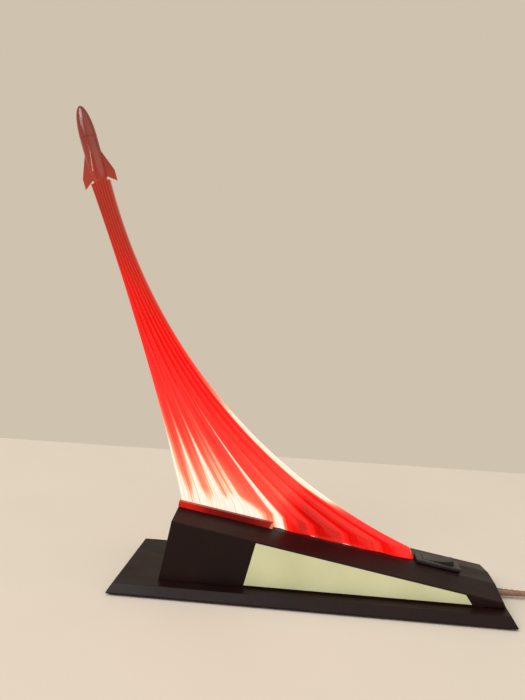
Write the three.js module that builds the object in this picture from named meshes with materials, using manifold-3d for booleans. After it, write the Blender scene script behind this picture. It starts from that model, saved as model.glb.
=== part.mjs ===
// Rocket night light: a dark moulded base with a small lamp inside, a fluted red acrylic plume lit from its
// foot,
// and a rocket on the plume's tip. Millimetres. X runs along the base, the tall end at -X; Z is up.
// The origin is the middle of the base's underside. The rubber feet reach a little below it.
import * as THREE from "three";
import { mergeVertices } from "three/addons/utils/BufferGeometryUtils.js";
import { ConvexGeometry } from "three/addons/geometries/ConvexGeometry.js";
import Module from "manifold-3d";

const wasm = await Module();
wasm.setup();

// Driving sizes of the whole lamp
const baseLength = 290;
const baseWidth = 100;
const plinthHeight = 7;
const footHeight = 1.5;
const eaveHighHeight = 51.5;
const eaveLowHeight = 12;
const housingFootLeft = 109.5;
const housingTopLeft = 102;
const housingEndLean = 1.7;
const housingSideLedge = 15;
const rocketTipHeight = 357;
const rocketTipReach = 193;

// Clearances and small allowances
const seatGap = 0.3;
const cutOverrun = 4;
const weldDistance = 0.001;

// Walls and radii of the mouldings
const plinthInset = 4.5;
const plinthWall = 2.4;
const plinthTopWall = 2.2;
const mouldingRadius = 0.8;
const housingWall = 2.6;
const wallLean = 1.8;
const ridgeRise = 3.5;
const ridgeHalfWidth = 10.5;

// Fineness of round shapes
const roundSides = 24;
const smallSides = 12;
const cornerSides = 8;
const cornerRings = 6;

// Solids and meshes
const materials = {
  shell: { color: 0x1c0c0a, roughness: 0.32, metalness: 0 },
  panel: { color: 0xe9e4cf, roughness: 0.42, metalness: 0 },
  acrylic: { color: 0xd01812, roughness: 0.12, metalness: 0 },
  glass: { color: 0xf4efe4, roughness: 0.05, metalness: 0 },
  steel: { color: 0x9a9a98, roughness: 0.35, metalness: 1 },
  brass: { color: 0xb08d45, roughness: 0.35, metalness: 1 },
  ceramic: { color: 0xe8e4da, roughness: 0.5, metalness: 0 },
  blackPlastic: { color: 0x141211, roughness: 0.45, metalness: 0 },
  rubber: { color: 0x1b1a19, roughness: 0.85, metalness: 0 },
  lead: { color: 0x7a5a44, roughness: 0.55, metalness: 0 },
  copperRed: { color: 0xa5382c, roughness: 0.5, metalness: 0 },
  copperBlue: { color: 0x35557d, roughness: 0.5, metalness: 0 },
};

function solidOf(geometry) {
  const bare = geometry.index ? geometry.toNonIndexed() : geometry.clone();
  bare.deleteAttribute("normal");
  bare.deleteAttribute("uv");
  const merged = mergeVertices(bare, weldDistance);
  const vertProperties = merged.attributes.position.array;
  const triVerts = new Uint32Array(merged.index.array);
  return new wasm.Manifold(new wasm.Mesh({ numProp: 3, vertProperties, triVerts }));
}

function geometryOf(solid) {
  const made = solid.getMesh();
  const geometry = new THREE.BufferGeometry();
  geometry.setAttribute("position", new THREE.BufferAttribute(made.vertProperties, 3));
  geometry.setIndex(new THREE.BufferAttribute(made.triVerts, 1));
  geometry.computeVertexNormals();
  return geometry;
}

function named(name, shape, material) {
  const geometry = shape.isBufferGeometry ? shape : geometryOf(shape);
  const mesh = new THREE.Mesh(geometry, new THREE.MeshStandardMaterial(materials[material]));
  mesh.name = name;
  return mesh;
}

// A block whose bottom face is at the given height
function block(length, width, height, x = 0, y = 0, bottom = 0) {
  return solidOf(new THREE.BoxGeometry(length, width, height).translate(x, y, bottom + height / 2));
}

// A round bar along Z, along Y or along X, from its start
function rodZ(radius, height, x = 0, y = 0, bottom = 0, sides = roundSides) {
  const bar = new THREE.CylinderGeometry(radius, radius, height, sides).rotateX(Math.PI / 2);
  return solidOf(bar.translate(x, y, bottom + height / 2));
}

function rodY(radius, length, x, start, z, sides = smallSides) {
  const bar = new THREE.CylinderGeometry(radius, radius, length, sides);
  return solidOf(bar.translate(x, start + length / 2, z));
}

function rodX(radius, length, start, y, z, sides = roundSides) {
  const bar = new THREE.CylinderGeometry(radius, radius, length, sides).rotateZ(Math.PI / 2);
  return solidOf(bar.translate(start + length / 2, y, z));
}

// A turned piece about Z, from a profile of [radius, height] pairs that runs upwards on its outside
function turned(profile, sides = roundSides) {
  const points = profile.map(([radius, height]) => new THREE.Vector2(radius, height));
  return new THREE.LatheGeometry(points, sides).rotateX(Math.PI / 2);
}

// A flat outline in X and Z, extruded along Y about y = middle
function extrudedY(points, width, middle = 0) {
  const shape = new THREE.Shape(points.map(([x, z]) => new THREE.Vector2(x, z)));
  const flat = new THREE.ExtrudeGeometry(shape, { depth: width, bevelEnabled: false });
  return solidOf(flat.rotateX(Math.PI / 2).translate(0, middle + width / 2, 0));
}

// The hull of equal balls at the corners: a convex moulding with rounded edges
function roundedHull(corners, radius) {
  const ball = new THREE.SphereGeometry(radius, cornerSides, cornerRings).attributes.position;
  const points = corners.flatMap(([x, y, z]) =>
    Array.from(
      { length: ball.count },
      (_, i) => new THREE.Vector3(x + ball.getX(i), y + ball.getY(i), z + ball.getZ(i)),
    ),
  );
  return solidOf(new ConvexGeometry(points));
}

function sharpHull(corners) {
  return solidOf(new ConvexGeometry(corners.map(([x, y, z]) => new THREE.Vector3(x, y, z))));
}

// A tube of round section along a route, its ends square to it
function tube(route, radius, sides, steps) {
  const ring = Array.from({ length: sides }, (_, i) => {
    const turn = (2 * Math.PI * i) / sides;
    return new THREE.Vector2(radius * Math.cos(turn), radius * Math.sin(turn));
  });
  const settings = { steps, extrudePath: route, bevelEnabled: false };
  return new THREE.ExtrudeGeometry(new THREE.Shape(ring), settings);
}

const unite = (first, ...others) => others.reduce((whole, next) => whole.add(next), first);
const cut = (first, ...tools) => tools.reduce((whole, next) => whole.subtract(next), first);
const bothSides = [-1, 1];

// The ridge's slope, and the ridge's own frame: its X runs down along the ridge and its Z stands square on
// it
const housingHalfWidth = baseWidth / 2 - housingSideLedge;
const plinthTopHalfLength = baseLength / 2 - plinthInset;
const housingFootRight = plinthTopHalfLength - mouldingRadius;
const housingTopRight = housingFootRight - housingEndLean;
const housingTopLength = housingTopLeft + housingTopRight;
const slope = (eaveHighHeight - eaveLowHeight) / housingTopLength;
const slopeAngle = Math.atan(slope);
const ridgeStartHeight = eaveHighHeight + ridgeRise;
const eaveHeightAt = (x) => eaveHighHeight - slope * (x + housingTopLeft);
const ridgeHeightAt = (x) => eaveHeightAt(x) + ridgeRise;
const alongRidge = (x) => (x + housingTopLeft) / Math.cos(slopeAngle);
const ridgeFrame = new THREE.Group();
ridgeFrame.position.set(-housingTopLeft, 0, ridgeStartHeight);
ridgeFrame.rotation.y = slopeAngle;
ridgeFrame.updateMatrix();
const inRidgeFrame = (geometry) => geometry.applyMatrix4(ridgeFrame.matrix);

// Plinth: a low tray with sloped sides, open below, with a window under the housing and four seats for its
// posts. The posts stand in from the housing's sides and leave room for the cord clamp's saddle between them
const postRadius = 4;
const postEndInset = 17.5;
const postSideInset = 11.3;
const postReachLeft = housingFootLeft - postEndInset;
const postReachRight = housingFootRight - postEndInset;
const postSeatWall = 3;
const saddleWidth = 19;
const saddleHalfRoom = saddleWidth / 2 + postSeatWall + postRadius + seatGap;
const postSpread = Math.max(housingHalfWidth - postSideInset, saddleHalfRoom);
const coverThickness = 2;
const postEnd = coverThickness + seatGap;
const windowEndLedge = 11.7;
const windowSideLedge = 4.8;
const windowHalfWidth = housingHalfWidth - windowSideLedge;
const windowLeft = housingFootLeft - windowEndLedge;
const windowRight = housingFootRight - windowEndLedge;
const posts = [
  [-postReachLeft, -postSpread],
  [-postReachLeft, postSpread],
  [postReachRight, -postSpread],
  [postReachRight, postSpread],
];

function frustum(shrink, bottom, top) {
  const insetPerHeight = plinthInset / plinthHeight;
  return bothSides.flatMap((sx) =>
    bothSides.flatMap((sy) =>
      [bottom, top].map((z) => [
        sx * (baseLength / 2 - insetPerHeight * z - shrink),
        sy * (baseWidth / 2 - insetPerHeight * z - shrink),
        z,
      ]),
    ),
  );
}

// Cord entry: a notch in the plinth's low end that the sleeve of the mains lead sits in. It lies behind the
// middle as far as the posts leave room
const leadDiameter = 3.6;
const leadRadius = leadDiameter / 2;
const saddleRoom = 3.5;
const entryY = Math.max(postSpread - postRadius - postSeatWall - saddleWidth / 2 - saddleRoom, 0);
const entryHeight = 3.4;
const sleeveRootRadius = 2.7;
const sleeveLength = 20;
const sleeveTipRadius = 2.1;
const sleeveRings = 4;
const sleeveGroove = 0.35;
const collarWidth = 7.6;
const collarThickness = 1.4;
const pocketStart = windowRight - cutOverrun;
const pocketEnd = plinthTopHalfLength + seatGap;
const pocketWidth = collarWidth + 2 * seatGap;
const channelRoom = 4;
const coverNotchRoom = 8.4;
const channelEnd = plinthTopHalfLength - channelRoom;
const coverNotchStart = plinthTopHalfLength - coverNotchRoom;

function plinth() {
  const outer = roundedHull(
    frustum(mouldingRadius, mouldingRadius, plinthHeight - mouldingRadius),
    mouldingRadius,
  );
  const cavity = sharpHull(frustum(plinthWall, -cutOverrun, plinthHeight - plinthTopWall));
  const windowLength = windowLeft + windowRight;
  const windowMiddle = (windowRight - windowLeft) / 2;
  const window = block(windowLength, 2 * windowHalfWidth, plinthHeight, windowMiddle, 0, plinthTopWall);
  const seatHeight = plinthHeight - postEnd;
  const seats = posts.map(([x, y]) => rodZ(postRadius + postSeatWall, seatHeight, x, y, postEnd));
  const bores = posts.map(([x, y]) => rodZ(postRadius + seatGap, 2 * plinthHeight, x, y, 0));
  const notchLength = baseLength / 2 + cutOverrun - pocketStart;
  const notchWidth = 2 * (sleeveRootRadius + seatGap);
  const notchTop = entryHeight + sleeveRootRadius + seatGap;
  const notch = block(
    notchLength,
    notchWidth,
    notchTop + cutOverrun,
    pocketStart + notchLength / 2,
    entryY,
    -cutOverrun,
  );
  const pocketLength = pocketEnd - pocketStart;
  const pocket = block(
    pocketLength,
    pocketWidth,
    notchTop + cutOverrun,
    pocketStart + pocketLength / 2,
    entryY,
    -cutOverrun,
  );
  const channelLength = channelEnd - pocketStart;
  const channel = block(
    channelLength,
    pocketWidth,
    2 * plinthHeight,
    pocketStart + channelLength / 2,
    entryY,
    0,
  );
  return cut(unite(cut(outer, cavity, window), ...seats), ...bores, notch, pocket, channel);
}

// Bottom cover: the flush plate that carries the electrical parts, with slots for air and holes for feet
// and screws
const coverInset = plinthWall + (plinthInset * coverThickness) / plinthHeight + seatGap;
const coverHalfLength = baseLength / 2 - coverInset;
const coverHalfWidth = baseWidth / 2 - coverInset;
const footEndInset = 15;
const footSideInset = 14;
const footReach = baseLength / 2 - footEndInset;
const footSpread = baseWidth / 2 - footSideInset;
const footRadius = 6;
const footStemRadius = 2.4;
const footLipRadius = 3.1;
const footLipHeight = 0.8;
const screwRadius = 1.5;
const screwHeadRadius = 3;
const screwHeadDepth = 1.5;
const screwLength = 9;
const slotWidth = 2.6;
const slotLength = 16;
const slotPitch = 8;
const slotCount = 7;
const slotRowY = 24;
const slotRowStart = -86;
const feet = bothSides.flatMap((sx) => bothSides.map((sy) => [sx * footReach, sy * footSpread]));

function bottomCover() {
  const plate = block(2 * coverHalfLength, 2 * coverHalfWidth, coverThickness);
  const slots = bothSides.flatMap((side) =>
    Array.from({ length: slotCount }, (_, i) =>
      block(
        slotWidth,
        slotLength,
        coverThickness + 2 * cutOverrun,
        slotRowStart + i * slotPitch,
        side * slotRowY,
        -cutOverrun,
      ),
    ),
  );
  const footHoles = feet.map(([x, y]) =>
    rodZ(footStemRadius + seatGap, coverThickness + 2 * cutOverrun, x, y, -cutOverrun, smallSides),
  );
  const screwHoles = posts.map(([x, y]) => {
    const sink = turned([
      [0, -cutOverrun],
      [screwHeadRadius + seatGap, -cutOverrun],
      [screwHeadRadius + seatGap, 0],
      [screwRadius + seatGap, screwHeadDepth],
      [screwRadius + seatGap, coverThickness + cutOverrun],
      [0, coverThickness + cutOverrun],
    ], smallSides);
    return solidOf(sink.translate(x, y, 0));
  });
  const notchLength = coverHalfLength + cutOverrun - coverNotchStart;
  const notch = block(
    notchLength,
    pocketWidth,
    4 * coverThickness,
    coverNotchStart + notchLength / 2,
    entryY,
    -coverThickness,
  );
  return cut(plate, notch, ...slots, ...footHoles, ...screwHoles);
}

// A rubber foot: a pad below the cover, with a stem that snaps through it
function rubberFoot() {
  const lipBottom = coverThickness + seatGap;
  return turned([
    [0, -footHeight],
    [footRadius, -footHeight],
    [footRadius, -seatGap],
    [footStemRadius, -seatGap],
    [footStemRadius, lipBottom],
    [footLipRadius, lipBottom],
    [footStemRadius, lipBottom + footLipHeight],
    [0, lipBottom + footLipHeight],
  ], smallSides);
}

function countersunkScrew(length) {
  return turned([
    [0, 0],
    [screwHeadRadius, 0],
    [screwRadius, screwHeadDepth],
    [screwRadius, length],
    [0, length],
  ], smallSides);
}

// Housing: a wedge with near-vertical walls, two gently sloping roof bands and a narrow ridge between them
const housingFoot = plinthHeight + seatGap;

function housingCorners(inset, footZ) {
  const leanPerHeight = wallLean / (eaveHighHeight - plinthHeight);
  const halfWidthAt = (z) => housingHalfWidth - leanPerHeight * (z - plinthHeight) - inset;
  const ends = [
    [-1, housingFootLeft - inset, housingTopLeft - inset, -housingTopLeft],
    [1, housingFootRight - inset, housingTopRight - inset, housingTopRight],
  ];
  return ends.flatMap(([end, footX, topX, x]) => {
    const eaveZ = eaveHeightAt(x) - inset;
    const ridgeZ = ridgeHeightAt(x) - inset;
    return bothSides.flatMap((side) => [
      [end * footX, side * halfWidthAt(footZ), footZ],
      [end * topX, side * halfWidthAt(eaveZ), eaveZ],
      [end * topX, side * ridgeHalfWidth, ridgeZ],
    ]);
  });
}

// Side panels: plain pale plates let flush into both long walls
const panelFootLeft = -46.5;
const panelTopLeft = -39;
const panelFootRight = 116;
const panelTopRight = 111.5;
const panelMargin = 1.6;
const panelTopMargin = 1.3;
const panelThickness = 1.1;
const panelProud = 0.1;

function panelPrism(grow) {
  const bottom = plinthHeight + panelMargin - grow;
  const topAt = (x) => eaveHeightAt(x) - panelTopMargin + grow;
  const outline = [
    [panelFootLeft - grow, bottom],
    [panelFootRight + grow, bottom],
    [panelTopRight + grow, topAt(panelTopRight + grow)],
    [panelTopLeft - grow, topAt(panelTopLeft - grow)],
  ];
  return extrudedY(outline, baseWidth);
}

function housingSkin(proud) {
  return sharpHull(housingCorners(-proud, housingFoot));
}

function sidePanel(side) {
  const half = block(baseLength, baseWidth, 2 * eaveHighHeight, 0, side * (baseWidth / 2), 0);
  const layer = cut(panelPrism(0).intersect(housingSkin(panelProud)), housingSkin(-panelThickness));
  return layer.intersect(half);
}

// Plume: a solid blade of clear red acrylic. Its two edges are arcs, its faces are fluted, and it narrows
// to the neck
const plumeEndInset = 1.5;
const plumeFootLeft = housingTopLeft - plumeEndInset;
const switchInset = 41.5;
const switchX = housingTopRight - switchInset;
const bezelLength = 33;
const toeGap = 1;
const plumeFootRight = switchX - bezelLength / 2 - toeGap;
const plumeFootThickness = 13;
const neckThickness = 10;
const neckWidth = 15;
const toeHeight = 8;
const toeRun = 3;
const rocketLength = 60;
const plumeLeadingSag = 4;
const plumeTrailingSag = 41;
const fluteCount = 7;
const fluteDepthShare = 0.34;
const pointsPerFlute = 4;
const plumeLevels = 22;
const edgeRoundness = 3.2;
const edgeEaseShare = 0.86;
const tenonThickness = 8;
const lightTenonStart = 10;
const lightTenonLength = 62;
const lightTenonDepth = housingWall;
const clampToeReach = 79.4;
const clampTenonLength = 42;
const clampTenonDepth = 12.5;
const tenonRoot = 2.5;

// The rocket stands on the neck and leans as the plume does there
const rocketLean = THREE.MathUtils.degToRad(18);
const rocketAxis = new THREE.Vector3(-Math.sin(rocketLean), 0, Math.cos(rocketLean));
const rocketAcross = new THREE.Vector3(Math.cos(rocketLean), 0, Math.sin(rocketLean));
const rocketTip = new THREE.Vector3(-rocketTipReach, 0, rocketTipHeight);
const neckMiddle = rocketTip.clone().addScaledVector(rocketAxis, -(rocketLength + seatGap));

// The arc from one point to another whose middle lies off the chord by the sag, to the chord's left
function arcPoint(start, end, sag, share) {
  const chord = end.clone().sub(start);
  const half = chord.length() / 2;
  const radius = (half * half + sag * sag) / (2 * sag);
  const halfAngle = Math.asin(half / radius);
  const angle = (2 * share - 1) * halfAngle;
  const along = chord.clone().normalize();
  const off = new THREE.Vector3(-along.z, 0, along.x);
  const middle = start.clone().add(end).multiplyScalar(1 / 2);
  const rise = sag - radius + radius * Math.cos(angle);
  return middle.addScaledVector(along, radius * Math.sin(angle)).addScaledVector(off, rise);
}

function plumeSection(level) {
  const footLeft = new THREE.Vector3(-plumeFootLeft, 0, ridgeHeightAt(-plumeFootLeft) + seatGap);
  const toe = new THREE.Vector3(plumeFootRight, 0, ridgeHeightAt(plumeFootRight) + seatGap);
  const toeTop = new THREE.Vector3(plumeFootRight - toeRun, 0, toe.z + toeHeight);
  const neckLeft = neckMiddle.clone().addScaledVector(rocketAcross, -neckWidth / 2);
  const neckRight = neckMiddle.clone().addScaledVector(rocketAcross, neckWidth / 2);
  const left = arcPoint(footLeft, neckLeft, -plumeLeadingSag, level);
  const firstShare = 1 / plumeLevels;
  const right = level === 0 ? toe : arcPoint(
    toeTop,
    neckRight,
    plumeTrailingSag,
    (level - firstShare) / (1 - firstShare),
  );
  return { left, right, thickness: plumeFootThickness + (neckThickness - plumeFootThickness) * level };
}

// Half the blade's thickness at a place from its leading edge, 0, to its trailing edge, 1
function halfThickness(place, thickness) {
  const fromMiddle = Math.abs(2 * place - 1);
  const rounded = Math.pow(1 - Math.pow(fromMiddle, edgeRoundness), 1 / edgeRoundness);
  const crest = Math.abs(Math.sin(Math.PI * fluteCount * place));
  const calm = fromMiddle > edgeEaseShare ? (1 - fromMiddle) / (1 - edgeEaseShare) : 1;
  return (thickness / 2) * rounded * (1 - fluteDepthShare * calm * (1 - crest));
}

function plumeBlade() {
  const across = fluteCount * pointsPerFlute;
  const ringCount = 2 * across;
  const positions = [];
  const faces = [];
  for (let row = 0; row <= plumeLevels; row += 1) {
    const { left, right, thickness } = plumeSection(row / plumeLevels);
    for (let i = 0; i < ringCount; i += 1) {
      const front = i <= across;
      const step = front ? i : ringCount - i;
      const place = step / across;
      const half = halfThickness(place, thickness);
      const point = left.clone().lerp(right, place);
      positions.push(point.x, front ? -half : half, point.z);
    }
  }
  for (let row = 0; row < plumeLevels; row += 1) {
    for (let i = 0; i < ringCount; i += 1) {
      const a = row * ringCount + i;
      const b = row * ringCount + ((i + 1) % ringCount);
      faces.push(a, b, b + ringCount, a, b + ringCount, a + ringCount);
    }
  }
  const top = plumeLevels * ringCount;
  for (let i = 0; i < across - 1; i += 1) {
    const front = i + 1;
    const back = ringCount - i;
    const lastBack = back % ringCount;
    faces.push(lastBack, back - 1, front, front, back - 1, front + 1);
    faces.push(top + front, top + back - 1, top + lastBack, top + front + 1, top + back - 1, top + front);
  }
  const geometry = new THREE.BufferGeometry();
  geometry.setAttribute("position", new THREE.Float32BufferAttribute(positions, 3));
  geometry.setIndex(faces);
  return solidOf(geometry);
}

// The rocket's spigot goes down into a socket in the neck
const spigotRadius = 2;
const spigotLength = 8;

function plume() {
  const tenons = [
    [lightTenonStart, lightTenonLength, lightTenonDepth],
    [clampTenonStart, clampTenonLength, clampTenonDepth],
  ].map(([start, length, depth]) => {
    const height = depth + tenonRoot;
    const tenon = new THREE.BoxGeometry(length, tenonThickness, height);
    return solidOf(inRidgeFrame(tenon.translate(start + length / 2, 0, height / 2 - depth)));
  });
  const screwHoles = clampScrewPlaces.map((place) => {
    const hole = new THREE.CylinderGeometry(
      clampScrewRadius + seatGap,
      clampScrewRadius + seatGap,
      baseWidth,
      smallSides,
    );
    return solidOf(inRidgeFrame(hole.translate(place, 0, -clampMiddle)));
  });
  const socketRadius = spigotRadius + seatGap;
  const socketLength = 2 * (spigotLength + seatGap);
  const socket = new THREE.CylinderGeometry(socketRadius, socketRadius, socketLength, smallSides);
  const placed = socket.rotateX(Math.PI / 2).rotateY(-rocketLean).translate(neckMiddle.x, 0, neckMiddle.z);
  return cut(unite(plumeBlade(), ...tenons), ...screwHoles, solidOf(placed));
}

// Plume clamp: two steel bars under the ridge that grip the tenon, and the screws that pull them together
const clampBarHeight = 8.5;
const clampBarThickness = 3;
const clampBarTop = housingWall + seatGap;
const clampMiddle = clampBarTop + clampBarHeight / 2;
const clampScrewRadius = 1.5;
const clampScrewHeadRadius = 2.8;
const clampScrewHeadHeight = 2;
const clampScrewInset = 9;
function clampBar(side) {
  const middle = side * (tenonThickness / 2 + seatGap + clampBarThickness / 2);
  const start = clampTenonStart;
  const bar = block(
    clampTenonLength,
    clampBarThickness,
    clampBarHeight,
    start + clampTenonLength / 2,
    middle,
    -clampBarTop - clampBarHeight,
  );
  const holes = clampScrewPlaces.map((place) =>
    rodY(clampScrewRadius + seatGap / 2, baseWidth, place, -baseWidth / 2, -clampMiddle),
  );
  return cut(bar, ...holes);
}

function clampScrew(place) {
  const outside = tenonThickness / 2 + 2 * seatGap + clampBarThickness;
  const shank = rodY(clampScrewRadius, 2 * outside, place, -outside, -clampMiddle);
  const head = rodY(
    clampScrewHeadRadius,
    clampScrewHeadHeight,
    place,
    -outside - clampScrewHeadHeight,
    -clampMiddle,
  );
  return unite(shank, head);
}

// Red strips beside the plume's foot, over the lamp, that light up along the ridge
const stripHeight = 4.4;
const stripLength = 74;

function glowStrip(side) {
  const inner = plumeFootThickness / 2 + seatGap;
  const width = ridgeHalfWidth - inner;
  return block(stripLength, width, stripHeight, stripLength / 2, side * (inner + width / 2), seatGap);
}

// Rocker switch on the low end of the ridge
const switchPlace = alongRidge(switchX);
const bezelWidth = 17;
const bezelHeight = 3;
const switchBodyLength = 27;
const switchBodyWidth = 12.6;
const switchBodyDepth = 12;
const switchWall = 1.3;
const rockerTilt = THREE.MathUtils.degToRad(8);
const rockerPivotHeight = 1.6;
const rockerPinRadius = 1;
const rockerPinGap = 0.15;
const rockerRise = 3.4;
const rockerDip = 0.9;
const rockerSkirt = 2.4;
const rockerGap = 0.4;
const rockerEndGap = 0.8;
const rockerSteps = 4;
const plungerRadius = 1;
const plungerTip = 6.7;
const contactPivotDepth = 8.8;
const contactLength = 15;
const contactWidth = 4;
const contactThickness = 0.6;
const contactTilt = THREE.MathUtils.degToRad(5);
const terminalWidth = 4;
const terminalThickness = 0.8;
const terminalDrop = 3;
const fulcrumRadius = 0.8;

function switchHousing() {
  const bezel = roundedHull(
    bothSides.flatMap((sx) =>
      bothSides.flatMap((sy) =>
        [seatGap + mouldingRadius, seatGap + bezelHeight - mouldingRadius].map((z) => [
          sx * (bezelLength / 2 - mouldingRadius),
          sy * (bezelWidth / 2 - mouldingRadius),
          z,
        ]),
      ),
    ),
    mouldingRadius,
  );
  const body = block(
    switchBodyLength,
    switchBodyWidth,
    switchBodyDepth + bezelHeight / 2,
    0,
    0,
    -switchBodyDepth,
  );
  const cavityLength = switchBodyLength - 2 * switchWall;
  const cavityWidth = switchBodyWidth - 2 * switchWall;
  const cavity = block(cavityLength, cavityWidth, 2 * switchBodyDepth, 0, 0, -switchBodyDepth + switchWall);
  const pinRoom = rockerPinRadius + rockerPinGap;
  const pinHole = rodY(pinRoom, switchBodyWidth, 0, -switchBodyWidth / 2, rockerPivotHeight);
  const legWidth = terminalWidth + 2 * seatGap;
  const legThickness = terminalThickness + 2 * seatGap;
  const legs = [0, terminalPlace].map((x) =>
    block(legThickness, legWidth, 2 * switchWall + cutOverrun, x, 0, -switchBodyDepth - cutOverrun),
  );
  return cut(unite(bezel, body), cavity, pinHole, ...legs);
}

const rockerLength = switchBodyLength - 2 * switchWall - 2 * rockerEndGap;
const rockerWidth = switchBodyWidth - 2 * switchWall - 2 * rockerGap;
const terminalPlace = contactLength / 2 - 1.5 * terminalThickness;

// The rocker is drawn level about its pivot and then turned to the lit position, its upper end pressed
function switchRocker() {
  const half = rockerLength / 2;
  const top = Array.from({ length: 2 * rockerSteps + 1 }, (_, i) => {
    const share = 1 - i / rockerSteps;
    return [half * share, rockerRise - rockerDip * (1 - share * share)];
  });
  const outline = [[-half, -rockerSkirt / 2], [half, -rockerSkirt / 2], ...top];
  const cap = extrudedY(outline, rockerWidth);
  const pins = rodY(
    rockerPinRadius,
    rockerWidth + 2 * rockerGap + 2 * (switchWall - seatGap),
    0,
    -(rockerWidth / 2 + rockerGap + switchWall - seatGap),
    0,
  );
  const plungerDrop = plungerTip + rockerPivotHeight;
  const plunger = rodZ(plungerRadius, plungerDrop, 0, 0, -plungerDrop, smallSides);
  return unite(cap, pins, plunger);
}

function switchContact() {
  const rise = contactThickness;
  const outline = [
    [-contactLength / 2, 0],
    [0, fulcrumRadius + seatGap],
    [contactLength / 2, 0],
    [contactLength / 2, rise],
    [0, rise + fulcrumRadius + seatGap],
    [-contactLength / 2, rise],
  ];
  return extrudedY(outline, contactWidth);
}

function terminal(place, top) {
  const bottom = switchBodyDepth + terminalDrop;
  const blade = block(terminalThickness, terminalWidth, bottom - top, place, 0, -bottom);
  const head = rodY(fulcrumRadius, terminalWidth, place, -terminalWidth / 2, -top);
  return unite(blade, head);
}

function switchCutout() {
  const length = switchBodyLength + 2 * seatGap;
  const width = switchBodyWidth + 2 * seatGap;
  const opening = new THREE.BoxGeometry(length, width, 2 * switchBodyDepth);
  return solidOf(inRidgeFrame(opening.translate(switchPlace, 0, 0)));
}

// Rear vents: upright slots high in the tall bay of the back wall
const ventWidth = 2.4;
const ventBottom = 26;
const ventHeight = 15;
const ventPitch = 7;
const ventCount = 6;
const ventStart = -94;

function housing() {
  const outer = roundedHull(housingCorners(mouldingRadius, housingFoot + mouldingRadius), mouldingRadius);
  const foot = block(
    housingFootLeft + housingFootRight,
    2 * housingHalfWidth,
    mouldingRadius,
    0,
    0,
    housingFoot,
  );
  const squareFoot = foot.intersect(sharpHull(housingCorners(0, housingFoot)));
  const cavity = sharpHull(housingCorners(housingWall, -cutOverrun));
  const skin = unite(outer, squareFoot);
  const postTops = posts.map(([x, y]) => {
    const inside = rodZ(postRadius, ridgeStartHeight, x, y, housingFoot).intersect(skin);
    return unite(inside, rodZ(postRadius, 2 * plinthTopWall + housingFoot - postEnd, x, y, postEnd));
  });
  const screwBores = posts.map(([x, y]) =>
    rodZ(screwRadius + seatGap / 2, screwLength, x, y, 0, smallSides),
  );
  const recess = cut(panelPrism(seatGap), housingSkin(-panelThickness - seatGap));
  const slots = [
    [lightTenonStart, lightTenonLength],
    [clampTenonStart, clampTenonLength],
  ].map(([start, length]) => {
    const slot = new THREE.BoxGeometry(length + 2 * seatGap, tenonThickness + 2 * seatGap, 4 * housingWall);
    return solidOf(inRidgeFrame(slot.translate(start + length / 2, 0, 0)));
  });
  const vents = Array.from({ length: ventCount }, (_, i) =>
    block(ventWidth, housingHalfWidth, ventHeight, ventStart + i * ventPitch, housingHalfWidth, ventBottom),
  );
  const shell = unite(cut(skin, cavity), ...postTops);
  return cut(shell, recess, ...slots, ...vents, ...screwBores, switchCutout());
}

// Rocket: a turned body with a pointed nose, four swept fins and a spigot
const rocketRadius = 6.5;
const noseShare = 0.42;
const tailRadius = 4.6;
const tailLength = 6;
const nosePoints = 9;
const finSpan = 6.5;
const finStart = 7;
const finRoot = 16;
const finSweep = 2.5;
const finTipHeight = 6;
const finThickness = 1.3;
const bandDepth = 0.35;
const bandWidth = 1.2;

function rocket() {
  const noseLength = rocketLength * noseShare;
  const noseStart = rocketLength - noseLength;
  const nose = Array.from({ length: nosePoints }, (_, i) => {
    const turn = (Math.PI / 2) * ((i + 1) / nosePoints);
    return [rocketRadius * Math.cos(turn), noseStart + noseLength * Math.sin(turn)];
  });
  nose[nosePoints - 1][0] = 0;
  const body = turned([
    [0, 0],
    [tailRadius, 0],
    [rocketRadius, tailLength],
    [rocketRadius, noseStart - bandWidth],
    [rocketRadius - bandDepth, noseStart - bandWidth + bandDepth],
    [rocketRadius - bandDepth, noseStart - bandDepth],
    [rocketRadius, noseStart],
    ...nose,
  ]);
  const spigot = rodZ(spigotRadius, spigotLength + tailLength, 0, 0, -spigotLength, smallSides);
  const fin = [
    [0, finStart],
    [rocketRadius + finSpan, -finSweep],
    [rocketRadius + finSpan, finTipHeight],
    [rocketRadius, finStart + finRoot],
    [0, finStart + finRoot],
  ];
  const along = extrudedY(fin, finThickness);
  const mirrored = extrudedY(fin.map(([x, z]) => [-x, z]).reverse(), finThickness);
  const across = [along, mirrored].map((one) => solidOf(geometryOf(one).rotateZ(Math.PI / 2)));
  return unite(solidOf(body), spigot, along, mirrored, ...across);
}

// Bulb: a pear-shaped lamp lying under the plume's foot. In its frame Z runs along it, down the slope, and
// X points down
const filamentX = -61;
const filamentDrop = 19.5;
const bulbFrame = new THREE.Group();
bulbFrame.position.set(filamentX, 0, ridgeHeightAt(filamentX) - filamentDrop);
bulbFrame.rotation.y = Math.PI / 2 + slopeAngle;
bulbFrame.updateMatrix();
const glassRadius = 12.5;
const glassWall = 0.7;
const glassNeckRadius = 5.4;
const glassFront = 15;
const glassBack = 18;
const glassNeckLength = 6;
const glassSteps = 6;
const capOverlap = 3.5;
const capRadius = 6.9;
const capLength = 17;
const capCollar = 5;
const capThreads = 4;
const threadDepth = 0.5;
const capEndRadius = 3.2;
const capEndLength = 3;
const sleeveStart = 3;
const contactRoom = 2;
const capStart = glassBack + glassNeckLength - capOverlap;
const capEnd = capStart + capLength;
const capInside = glassNeckRadius + seatGap;

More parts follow.
